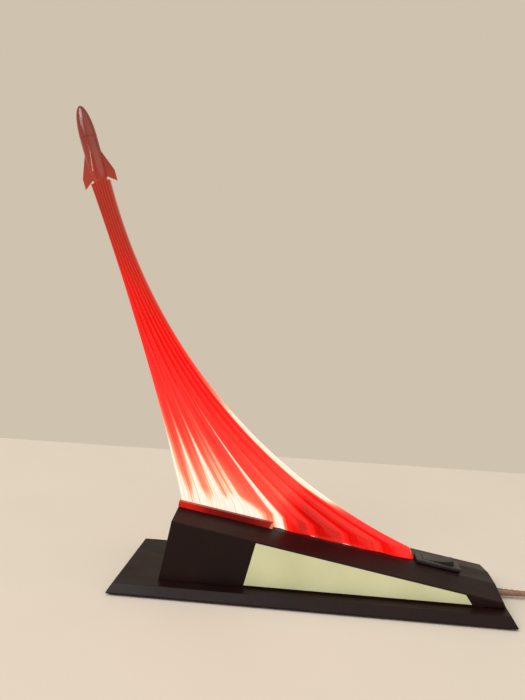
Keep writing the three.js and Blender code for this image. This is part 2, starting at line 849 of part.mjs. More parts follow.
function bulbGlassProfile(inset) {
  const radius = glassRadius - inset;
  const dome = Array.from({ length: glassSteps }, (_, i) => {
    const turn = (Math.PI / 2) * (1 - (i + 1) / glassSteps);
    return [radius * Math.cos(turn), -(glassFront - inset) * Math.sin(turn)];
  });
  const taper = Array.from({ length: glassSteps }, (_, i) => {
    const share = (i + 1) / glassSteps;
    const blend = (1 - Math.cos(Math.PI * share)) / 2;
    return [radius + (glassNeckRadius - glassRadius) * blend, glassBack * share];
  });
  const neck = [glassNeckRadius - inset, glassBack + glassNeckLength];
  return [[0, -(glassFront - inset)], ...dome, ...taper, neck];
}

function bulbGlass() {
  return turned([...bulbGlassProfile(0), ...bulbGlassProfile(glassWall).reverse()]);
}

function bulbCap() {
  const threadStart = capStart + capCollar;
  const pitch = (capEnd - threadStart) / capThreads;
  const threads = Array.from({ length: capThreads }, (_, i) => [
    [capRadius - threadDepth, threadStart + i * pitch],
    [capRadius, threadStart + (i + 1 / 2) * pitch],
  ]).flat();
  return turned([
    [0, capEnd],
    [capInside, capEnd - threadDepth],
    [capInside, capStart],
    [capRadius, capStart],
    ...threads,
    [capRadius - threadDepth, capEnd],
    [capEndRadius, capEnd + capEndLength / 2],
    [capEndRadius, capEnd + capEndLength],
    [0, capEnd + capEndLength],
  ]);
}

// The stem and its two wires hold the filament in the middle of the glass
const stemRadius = 1.6;
const stemTip = 8;
const stemFlareRadius = glassNeckRadius - glassWall - seatGap;
const stemFlareLength = 4;
const supportRadius = 0.35;
const supportSpread = 1;
const filamentRadius = 0.3;
const filamentSpan = 6;
const filamentRise = 2.5;
const filamentSides = 6;
const filamentSteps = 10;

function bulbStem() {
  const bottom = glassBack + glassNeckLength;
  const stem = turned([
    [0, stemTip],
    [stemRadius, stemTip],
    [stemRadius, bottom - stemFlareLength],
    [stemFlareRadius, bottom],
    [0, bottom],
  ], smallSides);
  const supports = bothSides.map((side) =>
    rodZ(supportRadius, 2 * stemRadius + stemTip, 0, side * supportSpread, 0, filamentSides),
  );
  const wire = new THREE.QuadraticBezierCurve3(
    new THREE.Vector3(0, -filamentSpan, filamentRise),
    new THREE.Vector3(0, 0, -filamentRise),
    new THREE.Vector3(0, filamentSpan, filamentRise),
  );
  return unite(
    solidOf(stem),
    ...supports,
    solidOf(tube(wire, filamentRadius, filamentSides, filamentSteps)),
  );
}

// Lampholder: a moulded cup with a metal sleeve and a centre contact, screwed to a steel bracket on the
// cover
const sleeveWall = 0.5;
const holderWall = 2.4;
const holderBase = 6;
const holderOpening = capStart + sleeveStart;
const holderFloor = capEnd + capEndLength + contactRoom;
const holderEnd = holderFloor + holderBase;
const shellInner = capRadius + seatGap;
const shellOuter = shellInner + sleeveWall;
const cupInner = shellOuter + seatGap;
const cupOuter = cupInner + holderWall;
const flangeRise = 1.6;
const flangeRadius = cupOuter + flangeRise;
const flangeWidth = 3;
const bracketScrewRadius = 1.5;
const bracketScrewHead = 2.6;
const bracketScrewHeadHeight = 1.8;
const bracketScrewDepth = 3.5;
const bracketThickness = 1.2;
const bracketRiserWidth = 10;
const bracketRiserTop = 8;
const bracketFootLength = 20;
const bracketFootWidth = 22;
const contactDomeRadius = 1.2;
const contactPlateRadius = 4.5;
const contactPlateThickness = 0.4;
const coverTop = coverThickness + seatGap;

// The plume's clamp grips the foot near its toe, and always past the lampholder's bracket
const filamentReach = alongRidge(filamentX) + filamentDrop * Math.sin(slopeAngle);
const bracketReach = filamentReach + holderEnd + bracketThickness + 2 * seatGap;
const clampTenonStart = Math.max(alongRidge(plumeFootRight) - clampToeReach, bracketReach);
const clampScrewPlaces = [
  clampTenonStart + clampScrewInset,
  clampTenonStart + clampTenonLength - clampScrewInset,
];

function lampholderBody() {
  const cup = turned([
    [0, holderFloor],
    [cupInner, holderFloor],
    [cupInner, holderOpening],
    [cupOuter, holderOpening],
    [flangeRadius, holderOpening + flangeWidth / 2],
    [flangeRadius, holderOpening + flangeWidth],
    [cupOuter, holderOpening + 2 * flangeWidth],
    [cupOuter, holderEnd],
    [0, holderEnd],
  ]);
  const bore = rodZ(
    bracketScrewRadius + seatGap,
    holderBase,
    0,
    0,
    holderEnd - bracketScrewDepth - seatGap,
    smallSides,
  );
  return cut(solidOf(cup), bore);
}

function lampholderShell() {
  const start = holderOpening + flangeWidth / 2;
  const end = holderFloor - seatGap;
  return turned([
    [shellInner, start],
    [shellOuter, start],
    [shellOuter, end],
    [shellInner, end],
    [shellInner, start],
  ]);
}

function lampholderContact() {
  const tip = capEnd + capEndLength + seatGap;
  const back = holderFloor - seatGap;
  return turned([
    [0, tip],
    [contactDomeRadius, tip],
    [contactPlateRadius - contactDomeRadius, back - contactPlateThickness],
    [contactPlateRadius, back - contactPlateThickness],
    [contactPlateRadius, back],
    [0, back],
  ], smallSides);
}

function lampholderBracket() {
  const riserLength = filamentDrop + ridgeStartHeight / 2;
  const riser = new THREE.BoxGeometry(riserLength, bracketRiserWidth, bracketThickness);
  const riserMiddle = holderEnd + seatGap + bracketThickness / 2;
  riser.translate(riserLength / 2 - bracketRiserTop, 0, riserMiddle).applyMatrix4(bulbFrame.matrix);
  const bore = new THREE.CylinderGeometry(
    bracketScrewRadius + seatGap,
    bracketScrewRadius + seatGap,
    4 * bracketThickness,
    smallSides,
  );
  bore.rotateX(Math.PI / 2).translate(0, 0, riserMiddle).applyMatrix4(bulbFrame.matrix);
  const footStart = filamentX + riserMiddle - bracketFootLength / 4;
  const foot = block(
    bracketFootLength,
    bracketFootWidth,
    bracketThickness,
    footStart + bracketFootLength / 4,
    0,
    coverTop,
  );
  const below = block(baseLength, baseWidth, ridgeStartHeight, 0, 0, coverTop - ridgeStartHeight);
  return cut(unite(solidOf(riser), foot), solidOf(bore), below);
}

function bracketScrew() {
  const headStart = holderEnd + bracketThickness + 2 * seatGap;
  return turned([
    [0, holderEnd - bracketScrewDepth],
    [bracketScrewRadius, holderEnd - bracketScrewDepth],
    [bracketScrewRadius, headStart],
    [bracketScrewHead, headStart],
    [bracketScrewHead, headStart + bracketScrewHeadHeight],
    [0, headStart + bracketScrewHeadHeight],
  ], smallSides);
}

// Reflector: a bright trough of bent sheet under the bulb, on its own leg
const reflectorRadius = 16;
const reflectorSheet = 0.8;
const reflectorLength = 36;
const reflectorHalfAngle = THREE.MathUtils.degToRad(72);
const reflectorSteps = 12;
const reflectorLegLength = 16;
const reflectorLegWidth = 10;

function reflector() {
  const middleHeight = bulbFrame.position.z;
  const arc = (radius, from, to) =>
    Array.from({ length: reflectorSteps + 1 }, (_, i) => {
      const turn = from + ((to - from) * i) / reflectorSteps;
      return new THREE.Vector2(radius * Math.sin(turn), -radius * Math.cos(turn));
    });
  const outer = arc(reflectorRadius, -reflectorHalfAngle, reflectorHalfAngle);
  const inner = arc(reflectorRadius - reflectorSheet, reflectorHalfAngle, -reflectorHalfAngle);
  const settings = { depth: reflectorLength, bevelEnabled: false };
  const trough = new THREE.ExtrudeGeometry(new THREE.Shape([...outer, ...inner]), settings);
  trough.rotateX(Math.PI / 2).rotateZ(Math.PI / 2).translate(
    filamentX - reflectorLength / 2,
    0,
    middleHeight,
  );
  const troughBottom = middleHeight - reflectorRadius + reflectorSheet / 2;
  const leg = block(reflectorLegLength, reflectorLegWidth, troughBottom - coverTop, filamentX, 0, coverTop);
  const legHollow = block(
    reflectorLegLength - 2 * reflectorSheet,
    reflectorLegWidth * 2,
    troughBottom - coverTop - reflectorSheet,
    filamentX,
    0,
    coverTop - reflectorSheet,
  );
  return unite(solidOf(trough), cut(leg, legHollow));
}

// Terminal block: two ways, with wire holes through it and screw holes from above
const blockReach = 29;
const clampInset = 11;
const clampX = windowRight - clampInset;
const sheathReach = 37;
const sheathEnd = clampX - sheathReach;
const blockX = sheathEnd - blockReach;
const blockLength = 14;
const blockWidth = 17;
const blockHeight = 11;
const wayY = 4.2;
const wayFloor = 5;
const wayHeight = coverTop + wayFloor;
const wayRadius = 1.5;
const wayScrewRadius = 1.5;

function terminalBlock() {
  const body = block(blockLength, blockWidth, blockHeight, blockX, 0, coverTop);
  const valley = block(
    2 * blockLength,
    1.5 * wayRadius,
    blockHeight,
    blockX,
    0,
    coverTop + blockHeight - wayRadius,
  );
  const ways = bothSides.map((side) =>
    rodX(wayRadius, 2 * blockLength, blockX - blockLength, side * wayY, wayHeight, smallSides),
  );
  const wells = bothSides.map((side) =>
    rodZ(wayScrewRadius, blockHeight, blockX, side * wayY, wayHeight, smallSides),
  );
  return cut(body, valley, ...ways, ...wells);
}

// Cord clamp: a saddle across the sheathed lead, with its two screws
const saddleLength = 7;
const saddleHeight = 5.2;
const leadInsideHeight = coverTop + leadRadius + seatGap;
const saddleScrewSpread = 6.2;
const saddleScrewRadius = 1.3;
const saddleScrewHead = 2.5;
const saddleScrewHeadHeight = 1.6;

function cordClamp() {
  const saddle = block(saddleLength, saddleWidth, saddleHeight, clampX, entryY, coverTop);
  const hump = rodX(
    leadRadius + 2 * seatGap + 1.5 * saddleScrewHeadHeight,
    saddleLength,
    clampX - saddleLength / 2,
    entryY,
    leadInsideHeight,
    smallSides,
  );
  const under = block(2 * saddleLength, saddleWidth, plinthHeight, clampX, entryY, coverTop - plinthHeight);
  const groove = rodX(
    leadRadius + seatGap,
    2 * saddleLength,
    clampX - saddleLength,
    entryY,
    leadInsideHeight,
    smallSides,
  );
  const mouth = block(
    2 * saddleLength,
    2 * (leadRadius + seatGap),
    leadInsideHeight - coverTop,
    clampX,
    entryY,
    coverTop,
  );
  const holes = bothSides.map((side) =>
    rodZ(
      saddleScrewRadius + seatGap,
      4 * saddleHeight,
      clampX,
      entryY + side * saddleScrewSpread,
      -saddleHeight,
      smallSides,
    ),
  );
  return cut(unite(saddle, hump), under, groove, mouth, ...holes);
}

function saddleScrew() {
  const top = saddleHeight + seatGap;
  return turned([
    [0, 0],
    [saddleScrewRadius, 0],
    [saddleScrewRadius, top],
    [saddleScrewHead, top],
    [saddleScrewHead, top + saddleScrewHeadHeight / 2],
    [saddleScrewRadius, top + saddleScrewHeadHeight],
    [0, top + saddleScrewHeadHeight],
  ], smallSides);
}

// Cord entry sleeve: a collar held inside the plinth and a tapered sleeve with rings outside it
const collarPlace = plinthTopHalfLength - collarThickness - seatGap;

function cordEntry() {
  const ringPitch = sleeveLength / (sleeveRings + 1);
  const outside = baseLength / 2;
  const taper = (sleeveTipRadius - sleeveRootRadius) / sleeveLength;
  const radiusAt = (x) => sleeveRootRadius + taper * (x - outside);
  const rings = Array.from({ length: sleeveRings }, (_, i) => {
    const x = outside + (i + 1) * ringPitch;
    const half = ringPitch / 4;
    return [
      [radiusAt(x - half), x - half],
      [radiusAt(x) - sleeveGroove, x],
      [radiusAt(x + half), x + half],
    ];
  }).flat();
  const sleeve = turned([
    [0, collarPlace],
    [sleeveRootRadius, collarPlace],
    [sleeveRootRadius, outside],
    ...rings,
    [sleeveTipRadius, outside + sleeveLength],
    [0, outside + sleeveLength],
  ], smallSides);
  const collar = block(
    collarThickness,
    collarWidth,
    2 * sleeveRootRadius,
    collarPlace + collarThickness / 2,
    entryY,
    entryHeight - sleeveRootRadius,
  );
  return unite(solidOf(sleeve.rotateY(Math.PI / 2).translate(0, entryY, entryHeight)), collar);
}

// Wires inside the base. Each route is a list of chosen points between the faces that it joins
const wireRadius = 0.9;
const wireSides = 6;
const wireSteps = 20;
const coreY = wayY;
const straightEnd = 4;
const blockRight = blockX + blockLength / 2 + seatGap;
const blockLeft = blockX - blockLength / 2 - seatGap;
const wireFaceY = 7.6;
const wireDepth = -(switchBodyDepth + terminalDrop - wireRadius);

const shifted = (points, x) => points.map((point) => [point[0] + x, point[1], point[2]]);
const fromEntry = (points) => points.map((point) => [point[0], point[1] + entryY, point[2]]);
const routeOf = (points) => new THREE.CatmullRomCurve3(
  points.map(([x, y, z]) => new THREE.Vector3(x, y, z)),
  false,
  "centripetal",
);

function inBulbFrame(x, y, z) {
  return new THREE.Vector3(x, y, z).applyMatrix4(bulbFrame.matrix).toArray();
}

function onSwitch(x, z) {
  return new THREE.Vector3(switchPlace + x, 0, z).applyMatrix4(ridgeFrame.matrix).toArray();
}

function innerLead() {
  const start = collarPlace - seatGap;
  const points = [
    [start, entryY, entryHeight],
    ...shifted([[18.5, entryY, 3.6]], clampX),
    ...shifted([[11, entryY, leadInsideHeight], [0, entryY, leadInsideHeight]], clampX),
    ...shifted(fromEntry([[-13, -0.1, leadInsideHeight]]), clampX),
    ...shifted([[-25, 3, leadInsideHeight], [-32, 0.4, leadInsideHeight]], clampX),
    [sheathEnd, 0, leadInsideHeight],
  ];
  return tube(routeOf(points), leadRadius, cornerSides, wireSteps);
}

function mainsCore(side) {
  const points = [
    [sheathEnd - 2 * seatGap, side * (wireRadius + seatGap / 2), leadInsideHeight],
    [sheathEnd - straightEnd, side * (wireRadius + seatGap), leadInsideHeight],
    ...shifted([[-10, side * 3, 5.5]], sheathEnd),
    [blockRight + straightEnd, side * coreY, wayHeight],
    [blockRight, side * coreY, wayHeight],
  ];
  return tube(routeOf(points), wireRadius, wireSides, wireSteps);
}

function neutralWire() {
  const end = inBulbFrame(0, wireFaceY, holderEnd + seatGap);
  const before = inBulbFrame(0, wireFaceY, holderEnd + seatGap + straightEnd);
  const points = [
    [blockLeft, coreY, wayHeight],
    [blockLeft - straightEnd, coreY, wayHeight],
    ...shifted([[-23, 11, 8]], blockX),
    [12, 13, 12],
    before,
    end,
  ];
  return tube(routeOf(points), wireRadius, wireSides, wireSteps);
}

function switchedWire() {
  const end = inBulbFrame(0, -wireFaceY, holderEnd + seatGap);
  const before = inBulbFrame(0, -wireFaceY, holderEnd + seatGap + straightEnd);
  const blade = terminalPlace + terminalThickness / 2 + seatGap;
  const points = [
    onSwitch(blade, wireDepth),
    onSwitch(blade + straightEnd, wireDepth),
    ...shifted([[15.5, -5, 4.6], [10.5, -13, 5], [-6.5, -19, 6], [-36.5, -20, 6]], switchX),
    [30, -19, 7],
    [12, -14, 12],
    before,
    end,
  ];
  return tube(routeOf(points), wireRadius, wireSides, 2 * wireSteps);
}

function liveWire() {
  const blade = -terminalThickness / 2 - seatGap;
  const points = [
    [blockLeft, -coreY, wayHeight],
    [blockLeft - straightEnd, -coreY, wayHeight],
    ...shifted([[-17, -9, 7], [-11, -13.5, 6.5], [5, -14, 6.5]], blockX),
    ...shifted([[-22.5, -12, 7], [-11.5, -5, 8]], switchX),
    onSwitch(blade - straightEnd, wireDepth),
    onSwitch(blade, wireDepth),
  ];
  return tube(routeOf(points), wireRadius, wireSides, 2 * wireSteps);
}

// Mains lead outside the base: the free stretch, a coil of four layers, and the tail to the plug
const tableHeight = -footHeight;
const tieThickness = 0.6;
const coilRest = tableHeight + tieThickness + seatGap + leadRadius;
const leadSpacing = 0.5;
const leadPitch = leadDiameter + leadSpacing;
const coilMeanRadius = 21;
const turnsPerLayer = 2.75;
const layers = 4;
const loopSteps = 24;
const loopSides = 6;
const sleeveTip = baseLength / 2 + sleeveLength;
const coilReach = 49;
const coilX = sleeveTip + coilReach;
const coilOuter = coilMeanRadius + (leadPitch * turnsPerLayer) / 2;
const coilInner = coilMeanRadius - (leadPitch * turnsPerLayer) / 2;
const coilY = entryY - coilOuter;
const leadSteps = 12;
const climbTurns = 0.5;

function smooth(share) {
  const held = Math.min(Math.max(share, 0), 1);
  return held * held * (3 - 2 * held);
}

// A point of the coil's middle line after a number of turns, clockwise from its far side
function coilPoint(turns) {
  const layer = Math.min(Math.floor(turns / turnsPerLayer), layers - 1);
  const inward = turns - layer * turnsPerLayer;
  const radius = layer % 2 === 0 ? coilOuter - leadPitch * inward : coilInner + leadPitch * inward;
  let height = coilRest;
  for (let reversal = 1; reversal < layers; reversal += 1) {
    const climbed = (turns - reversal * turnsPerLayer) / climbTurns + 1 / 2;
    height += leadPitch * smooth(climbed);
  }
  const angle = Math.PI / 2 - 2 * Math.PI * turns;
  return new THREE.Vector3(coilX + radius * Math.cos(angle), coilY + radius * Math.sin(angle), height);
}

const coilTurns = turnsPerLayer * layers;
const coilTop = coilPoint(coilTurns).z;

function coilPath() {
  const steps = Math.round(coilTurns * loopSteps);
  const points = Array.from({ length: steps + 1 }, (_, i) => coilPoint((coilTurns * i) / steps));
  const first = points[0].clone().add(new THREE.Vector3(-leadDiameter, 0, 0));
  const last = points[steps].clone().add(new THREE.Vector3(leadDiameter, 0, 0));
  return [first, ...points, last];
}

// The least distance between stretches of the coil that lie half a turn or more apart along it, less the
// lead's diameter
function coilGap(points) {
  let least = Infinity;
  for (let i = 0; i < points.length; i += 1) {
    for (let k = i + loopSteps / 2; k < points.length; k += 1) {
      least = Math.min(least, points[i].distanceTo(points[k]));
    }
  }
  return least - leadDiameter;
}

function cordCoil() {
  const points = coilPath();
  const up = new THREE.Vector3(0, 0, 1);
  const positions = [];
  const faces = [];
  points.forEach((point, i) => {
    const next = points[Math.min(i + 1, points.length - 1)];
    const before = points[Math.max(i - 1, 0)];
    const ahead = next.clone().sub(before).setZ(0).normalize();
    const side = new THREE.Vector3().crossVectors(ahead, up);
    for (let k = 0; k < loopSides; k += 1) {
      const turn = (2 * Math.PI * (k + 1 / 2)) / loopSides;
      const corner = point.clone().addScaledVector(side, leadRadius * Math.cos(turn)).addScaledVector(
        up,
        leadRadius * Math.sin(turn),
      );
      positions.push(corner.x, corner.y, corner.z);
    }
  });
  for (let i = 0; i < points.length - 1; i += 1) {
    for (let k = 0; k < loopSides; k += 1) {
      const a = i * loopSides + k;
      const b = i * loopSides + ((k + 1) % loopSides);
      faces.push(a, b + loopSides, b, a, a + loopSides, b + loopSides);
    }
  }
  const last = (points.length - 1) * loopSides;
  for (let k = 1; k < loopSides - 1; k += 1) {
    faces.push(0, k, k + 1, last, last + k + 1, last + k);
  }
  const geometry = new THREE.BufferGeometry();
  geometry.setAttribute("position", new THREE.Float32BufferAttribute(positions, 3));
  geometry.setIndex(faces);
  console.log("least gap of the coil to itself " + coilGap(points).toFixed(2) + " mm");
  return solidOf(geometry);
}

function mainsCord() {
  const points = [
    [sleeveTip + seatGap, entryY, entryHeight],
    ...shifted(fromEntry([[4, 0, 3.3], [9, 0.4, 2.4], [15, 1.4, 1.1], [22, 2, 0.4]]), sleeveTip),
    ...shifted(fromEntry([[30, 1.4, 0.5], [37, 0.3, 1], [42, 0, 1.2]]), sleeveTip),
    [coilX - leadDiameter - seatGap, entryY, coilRest],
  ];
  return tube(routeOf(points), leadRadius, cornerSides, leadSteps);
}

// The tie: a flat band round the coil's bundle
const tieTurn = 0.6;
const tieWidth = 6;
const tieGap = 0.45;

function cordTie() {
  const bundleInner = coilInner - leadRadius - tieGap;
  const bundleOuter = coilOuter + leadRadius + tieGap;
  const bottom = tableHeight;
  const top = coilTop + leadRadius + tieGap;
  const height = top + tieThickness - bottom;
  const band = block(
    bundleOuter - bundleInner + 2 * tieThickness,
    tieWidth,
    height,
    (bundleOuter + bundleInner) / 2,
    0,
    bottom,
  );
  const inside = block(
    bundleOuter - bundleInner,
    2 * tieWidth,
    height - 2 * tieThickness,
    (bundleOuter + bundleInner) / 2,
    0,
    bottom + tieThickness,
  );
  const angle = Math.PI / 2 - 2 * Math.PI * tieTurn;
  return geometryOf(cut(band, inside)).rotateZ(angle).translate(coilX, coilY, 0);
}

// Plug: a flat moulded two-pin body lying beside the coil, its pins towards -Y
const plugReach = 50;
const plugSetback = 2;
const plugX = coilX + plugReach;
const plugBack = coilY - plugSetback;
const plugBodyLength = 36;
const plugWidth = 35;
const plugThickness = 13.7;
const plugNeckWidth = 13;
const plugNeckThickness = 10;
const plugShoulder = 12;
const plugRadius = 2.5;
const pinRadius = 2;
const pinLength = 19;
const pinSpread = 9.3;
const pinTaper = 1;
const plugHeight = tableHeight + plugThickness / 2;
const tailSteps = 20;

function plugBody() {
  const section = (y, width, thickness) =>
    bothSides.flatMap((sx) =>
      bothSides.map((sz) => [sx * (width / 2 - plugRadius), y, sz * (thickness / 2 - plugRadius)]),
    );
  const corners = [
    ...section(-plugRadius, plugNeckWidth, plugNeckThickness),
    ...section(-plugShoulder, plugWidth, plugThickness),
    ...section(-plugBodyLength + plugRadius, plugWidth, plugThickness),
  ];
  return roundedHull(corners, plugRadius);
}

function plugPin() {
  return turned([
    [0, 0],
    [pinRadius, 0],
    [pinRadius, pinLength - pinTaper],
    [pinRadius - pinTaper / 2, pinLength],
    [0, pinLength],
  ], smallSides);
}

function cordTail() {
  const start = coilX + leadDiameter + seatGap;
  const points = [
    [start, entryY, coilTop],
    ...shifted(fromEntry([[10, -0.2, 13.5], [18, -2.4, 12.1], [28, -7.1, 9.3]]), coilX),
    ...shifted(fromEntry([[38, -9.6, 8], [46, -15.6, 5.9], [49.6, -22.6, 5.4]]), coilX),
    [plugX, plugBack + seatGap, plugHeight],
  ];
  return tube(routeOf(points), leadRadius, cornerSides, tailSteps);
}

// The assembly
const lamp = new THREE.Group();
lamp.add(ridgeFrame, bulbFrame);

function place(name, shape, material, group = lamp, x = 0, y = 0, z = 0) {
  const mesh = named(name, shape, material);
  mesh.position.set(x, y, z);
  group.add(mesh);
  return mesh;
}

const sideNames = [
  ["front", -1],
  ["back", 1],
];
const cornerNames = ["left_front", "left_back", "right_front", "right_back"];

place("plinth", plinth(), "shell");
place("bottom_cover", bottomCover(), "blackPlastic");
feet.forEach(([x, y], i) => place("rubber_foot_" + cornerNames[i], rubberFoot(), "rubber", lamp, x, y));
posts.forEach(([x, y], i) =>
  place("cover_screw_" + cornerNames[i], countersunkScrew(screwLength - seatGap), "steel", lamp, x, y),
);
place("housing", housing(), "shell");
sideNames.forEach(([name, side]) => place("side_panel_" + name, sidePanel(side), "panel"));

place("plume", plume(), "acrylic");
const rocketMesh = place(
  "rocket",
  rocket(),
  "acrylic",
  lamp,
  ...neckMiddle.clone().addScaledVector(rocketAxis, seatGap).toArray(),
);
rocketMesh.rotation.y = -rocketLean;
sideNames.forEach(([name, side]) => {
  place("glow_strip_" + name, glowStrip(side), "acrylic", ridgeFrame);
  place("plume_clamp_" + name, clampBar(side), "steel", ridgeFrame);
});
["upper", "lower"].forEach((name, i) =>
  place("clamp_screw_" + name, clampScrew(clampScrewPlaces[i]), "steel", ridgeFrame),
);

place("bulb_glass", bulbGlass(), "glass", bulbFrame);
place("bulb_cap", bulbCap(), "brass", bulbFrame);
place("bulb_stem", bulbStem(), "steel", bulbFrame);
place("lampholder_body", lampholderBody(), "ceramic", bulbFrame);
place("lampholder_sleeve", lampholderShell(), "brass", bulbFrame);
place("lampholder_contact", lampholderContact(), "brass", bulbFrame);
place("lampholder_bracket", lampholderBracket(), "steel");
place("lampholder_screw", bracketScrew(), "steel", bulbFrame);
place("reflector", reflector(), "steel");

place("switch_housing", switchHousing(), "blackPlastic", ridgeFrame, switchPlace);
const rockerMesh = place(
  "switch_rocker",
  switchRocker(),
  "blackPlastic",
  ridgeFrame,
  switchPlace,
  0,
  rockerPivotHeight,
);
rockerMesh.rotation.y = -rockerTilt;
const contactMesh = place(
  "switch_contact",
  switchContact(),
  "brass",
  ridgeFrame,
  switchPlace,
  0,
  -contactPivotDepth,
);
contactMesh.rotation.y = contactTilt;
const loadTerminalDepth = contactPivotDepth + terminalPlace * Math.sin(contactTilt) + fulcrumRadius;
place("switch_terminal_feed", terminal(0, contactPivotDepth), "brass", ridgeFrame, switchPlace);
place("switch_terminal_load", terminal(terminalPlace, loadTerminalDepth), "brass", ridgeFrame, switchPlace);

place("terminal_block", terminalBlock(), "ceramic");
place("cord_clamp", cordClamp(), "blackPlastic");
sideNames.forEach(([name, side]) => {
  place(
    "clamp_saddle_screw_" + name,
    saddleScrew(),
    "steel",
    lamp,
    clampX,
    entryY + side * saddleScrewSpread,
    coverTop,
  );
  place(
    side < 0 ? "mains_core_live" : "mains_core_neutral",
    mainsCore(side),
    side < 0 ? "copperRed" : "copperBlue",
  );
});
place("inner_lead", innerLead(), "lead");
place("neutral_wire", neutralWire(), "copperBlue");
place("live_wire", liveWire(), "copperRed");
place("switched_wire", switchedWire(), "copperRed");

place("cord_entry", cordEntry(), "lead");
place("mains_cord", mainsCord(), "lead");
place("cord_coil", cordCoil(), "lead");
place("cord_tail", cordTail(), "lead");
place("cord_tie", cordTie(), "blackPlastic");
place("plug_body", plugBody(), "blackPlastic", lamp, plugX, plugBack, plugHeight);
sideNames.forEach(([, side], i) => {
  const pin = place(
    i === 0 ? "plug_pin_left" : "plug_pin_right",
    plugPin(),
    "brass",
    lamp,
    plugX + side * pinSpread,
    plugBack - plugBodyLength - seatGap,
    plugHeight,
  );
  pin.rotation.x = Math.PI / 2;
});

export default lamp;
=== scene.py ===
# %% [markdown]
# # Rocket night light
# A small lamp in a dark wedge-shaped base lights a fluted plume of clear red acrylic from its foot, and a
# rocket stands on the plume's tip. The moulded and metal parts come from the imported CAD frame. This file adds
# the finishes, the pieces that need finer curves than the frame has, the light and the camera. Blender works
# in metres. The lamp's sizes are given in millimetres and multiplied by MM, and the table and the lights in
# metres.

# %% Load the frame
import math

import bmesh
import bpy
from mathutils import Matrix, Vector


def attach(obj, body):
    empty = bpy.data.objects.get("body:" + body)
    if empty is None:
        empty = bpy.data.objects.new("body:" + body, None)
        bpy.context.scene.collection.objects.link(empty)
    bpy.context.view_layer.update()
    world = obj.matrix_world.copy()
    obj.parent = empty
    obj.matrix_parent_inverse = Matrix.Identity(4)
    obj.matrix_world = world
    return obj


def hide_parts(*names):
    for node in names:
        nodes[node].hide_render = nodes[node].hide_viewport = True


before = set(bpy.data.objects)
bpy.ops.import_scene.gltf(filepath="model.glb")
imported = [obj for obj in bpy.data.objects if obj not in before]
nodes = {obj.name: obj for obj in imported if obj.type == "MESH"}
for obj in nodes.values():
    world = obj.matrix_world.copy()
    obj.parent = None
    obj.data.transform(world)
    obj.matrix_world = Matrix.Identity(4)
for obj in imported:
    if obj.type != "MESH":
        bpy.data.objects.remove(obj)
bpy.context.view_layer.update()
MM = 0.001
scene = bpy.context.scene
print("frame nodes:", len(nodes))

# %% [markdown]
# ## Camera
# The photograph was taken from half a metre away, a little over half the lamp's height up, with the camera
# turned slightly to the left and down, and tipped. Its place and its three turns, in radians, come from
# matching the base's corners in the picture. It could be aimed with an empty and a constraint, but its axes
# are easy to work out: a camera looks along its own -Z, so they are the picture's right, its up and the way
# back to the camera.

# %% Camera
CAMERA_PLACE = Vector((-2.04, -491.7, 211.1)) * MM
CAMERA_YAW, CAMERA_PITCH, CAMERA_ROLL = -0.085, 0.067, -0.049
FOCAL_PIXELS, PICTURE_HEIGHT_PIXELS = 648.9, 700
SENSOR_MM = 36.0  # the sensor's long side, which the picture's height fills
NEAREST_SEEN = 10 * MM  # from the camera


def camera_axes(yaw, pitch, roll):
    """The picture's right, its up and the way back to the camera."""
    ahead = Vector((math.sin(yaw) * math.cos(pitch), math.cos(yaw) * math.cos(pitch), -math.sin(pitch)))
    level_right = Vector((math.cos(yaw), -math.sin(yaw), 0))
    level_down = ahead.cross(level_right)
    right = math.cos(roll) * level_right + math.sin(roll) * level_down
    down = -math.sin(roll) * level_right + math.cos(roll) * level_down
    return right, -down, -ahead


camera_data = bpy.data.cameras.new("camera")
camera_data.sensor_width = SENSOR_MM
camera_data.lens = FOCAL_PIXELS / PICTURE_HEIGHT_PIXELS * SENSOR_MM
camera_data.clip_start = NEAREST_SEEN
camera = bpy.data.objects.new("camera", camera_data)
scene.collection.objects.link(camera)
turn = Matrix(camera_axes(CAMERA_YAW, CAMERA_PITCH, CAMERA_ROLL)).transposed().to_4x4()
camera.matrix_world = Matrix.Translation(CAMERA_PLACE) @ turn
scene.camera = camera
print("camera lens, mm:", round(camera_data.lens, 2))

# %% [markdown]
# ## Colours, nodes and pieces
# Colours are written as sRGB hex values, because that is how they look on a screen, and one function turns
# them to the linear values that the shader works with. Another adds a node with its settings and links in one
# line, which keeps each material short enough to read as a list of its layers. Most finishes then need only
# three things that all come from a soft noise: a colour that mottles, a roughness that wanders, and a relief
# of grains. New solid pieces are shaped in a bmesh, with their places in the mesh, so that each sits at the
# origin as the frame's do.


# %% Helpers for colours and nodes
def linear(hex_colour):
    """An opaque colour from its hex value, by the two parts of the sRGB curve."""
    channels = [int(hex_colour[i : i + 2], 16) / 255 for i in (1, 3, 5)]
    return [c / 12.92 if c <= 0.04045 else ((c + 0.055) / 1.055) ** 2.4 for c in channels] + [1.0]


def add(material, kind, settings=None, **links):
    """Adds a node. Settings are its properties, socket values and ramp stops, and links are what feeds it."""
    node = material.node_tree.nodes.new("ShaderNode" + kind)
    for name, value in (settings or {}).items():
        if name == "stops":
            elements = node.color_ramp.elements
            while len(elements) < len(value):
                elements.new(0.5)
            for element, (place, colour) in zip(elements, value):
                element.position = place
                element.color = linear(colour)
        elif isinstance(name, int) or name in node.inputs:
            node.inputs[name].default_value = value
        else:
            setattr(node, name, value)
    for name, source in links.items():
        socket = node.inputs[int(name[1:])] if name[0] == "_" else node.inputs[name.replace("_", " ")]
        material.node_tree.links.new(source, socket)
    return node


def finish_named(name, **values):
    """A material of one Principled shader, with values that are the same all over."""
    material = bpy.data.materials.new(name)
    material.use_nodes = True
    shader = material.node_tree.nodes["Principled BSDF"]
    for key, value in values.items():
        shader.inputs[key.replace("_", " ")].default_value = value
    return material, shader


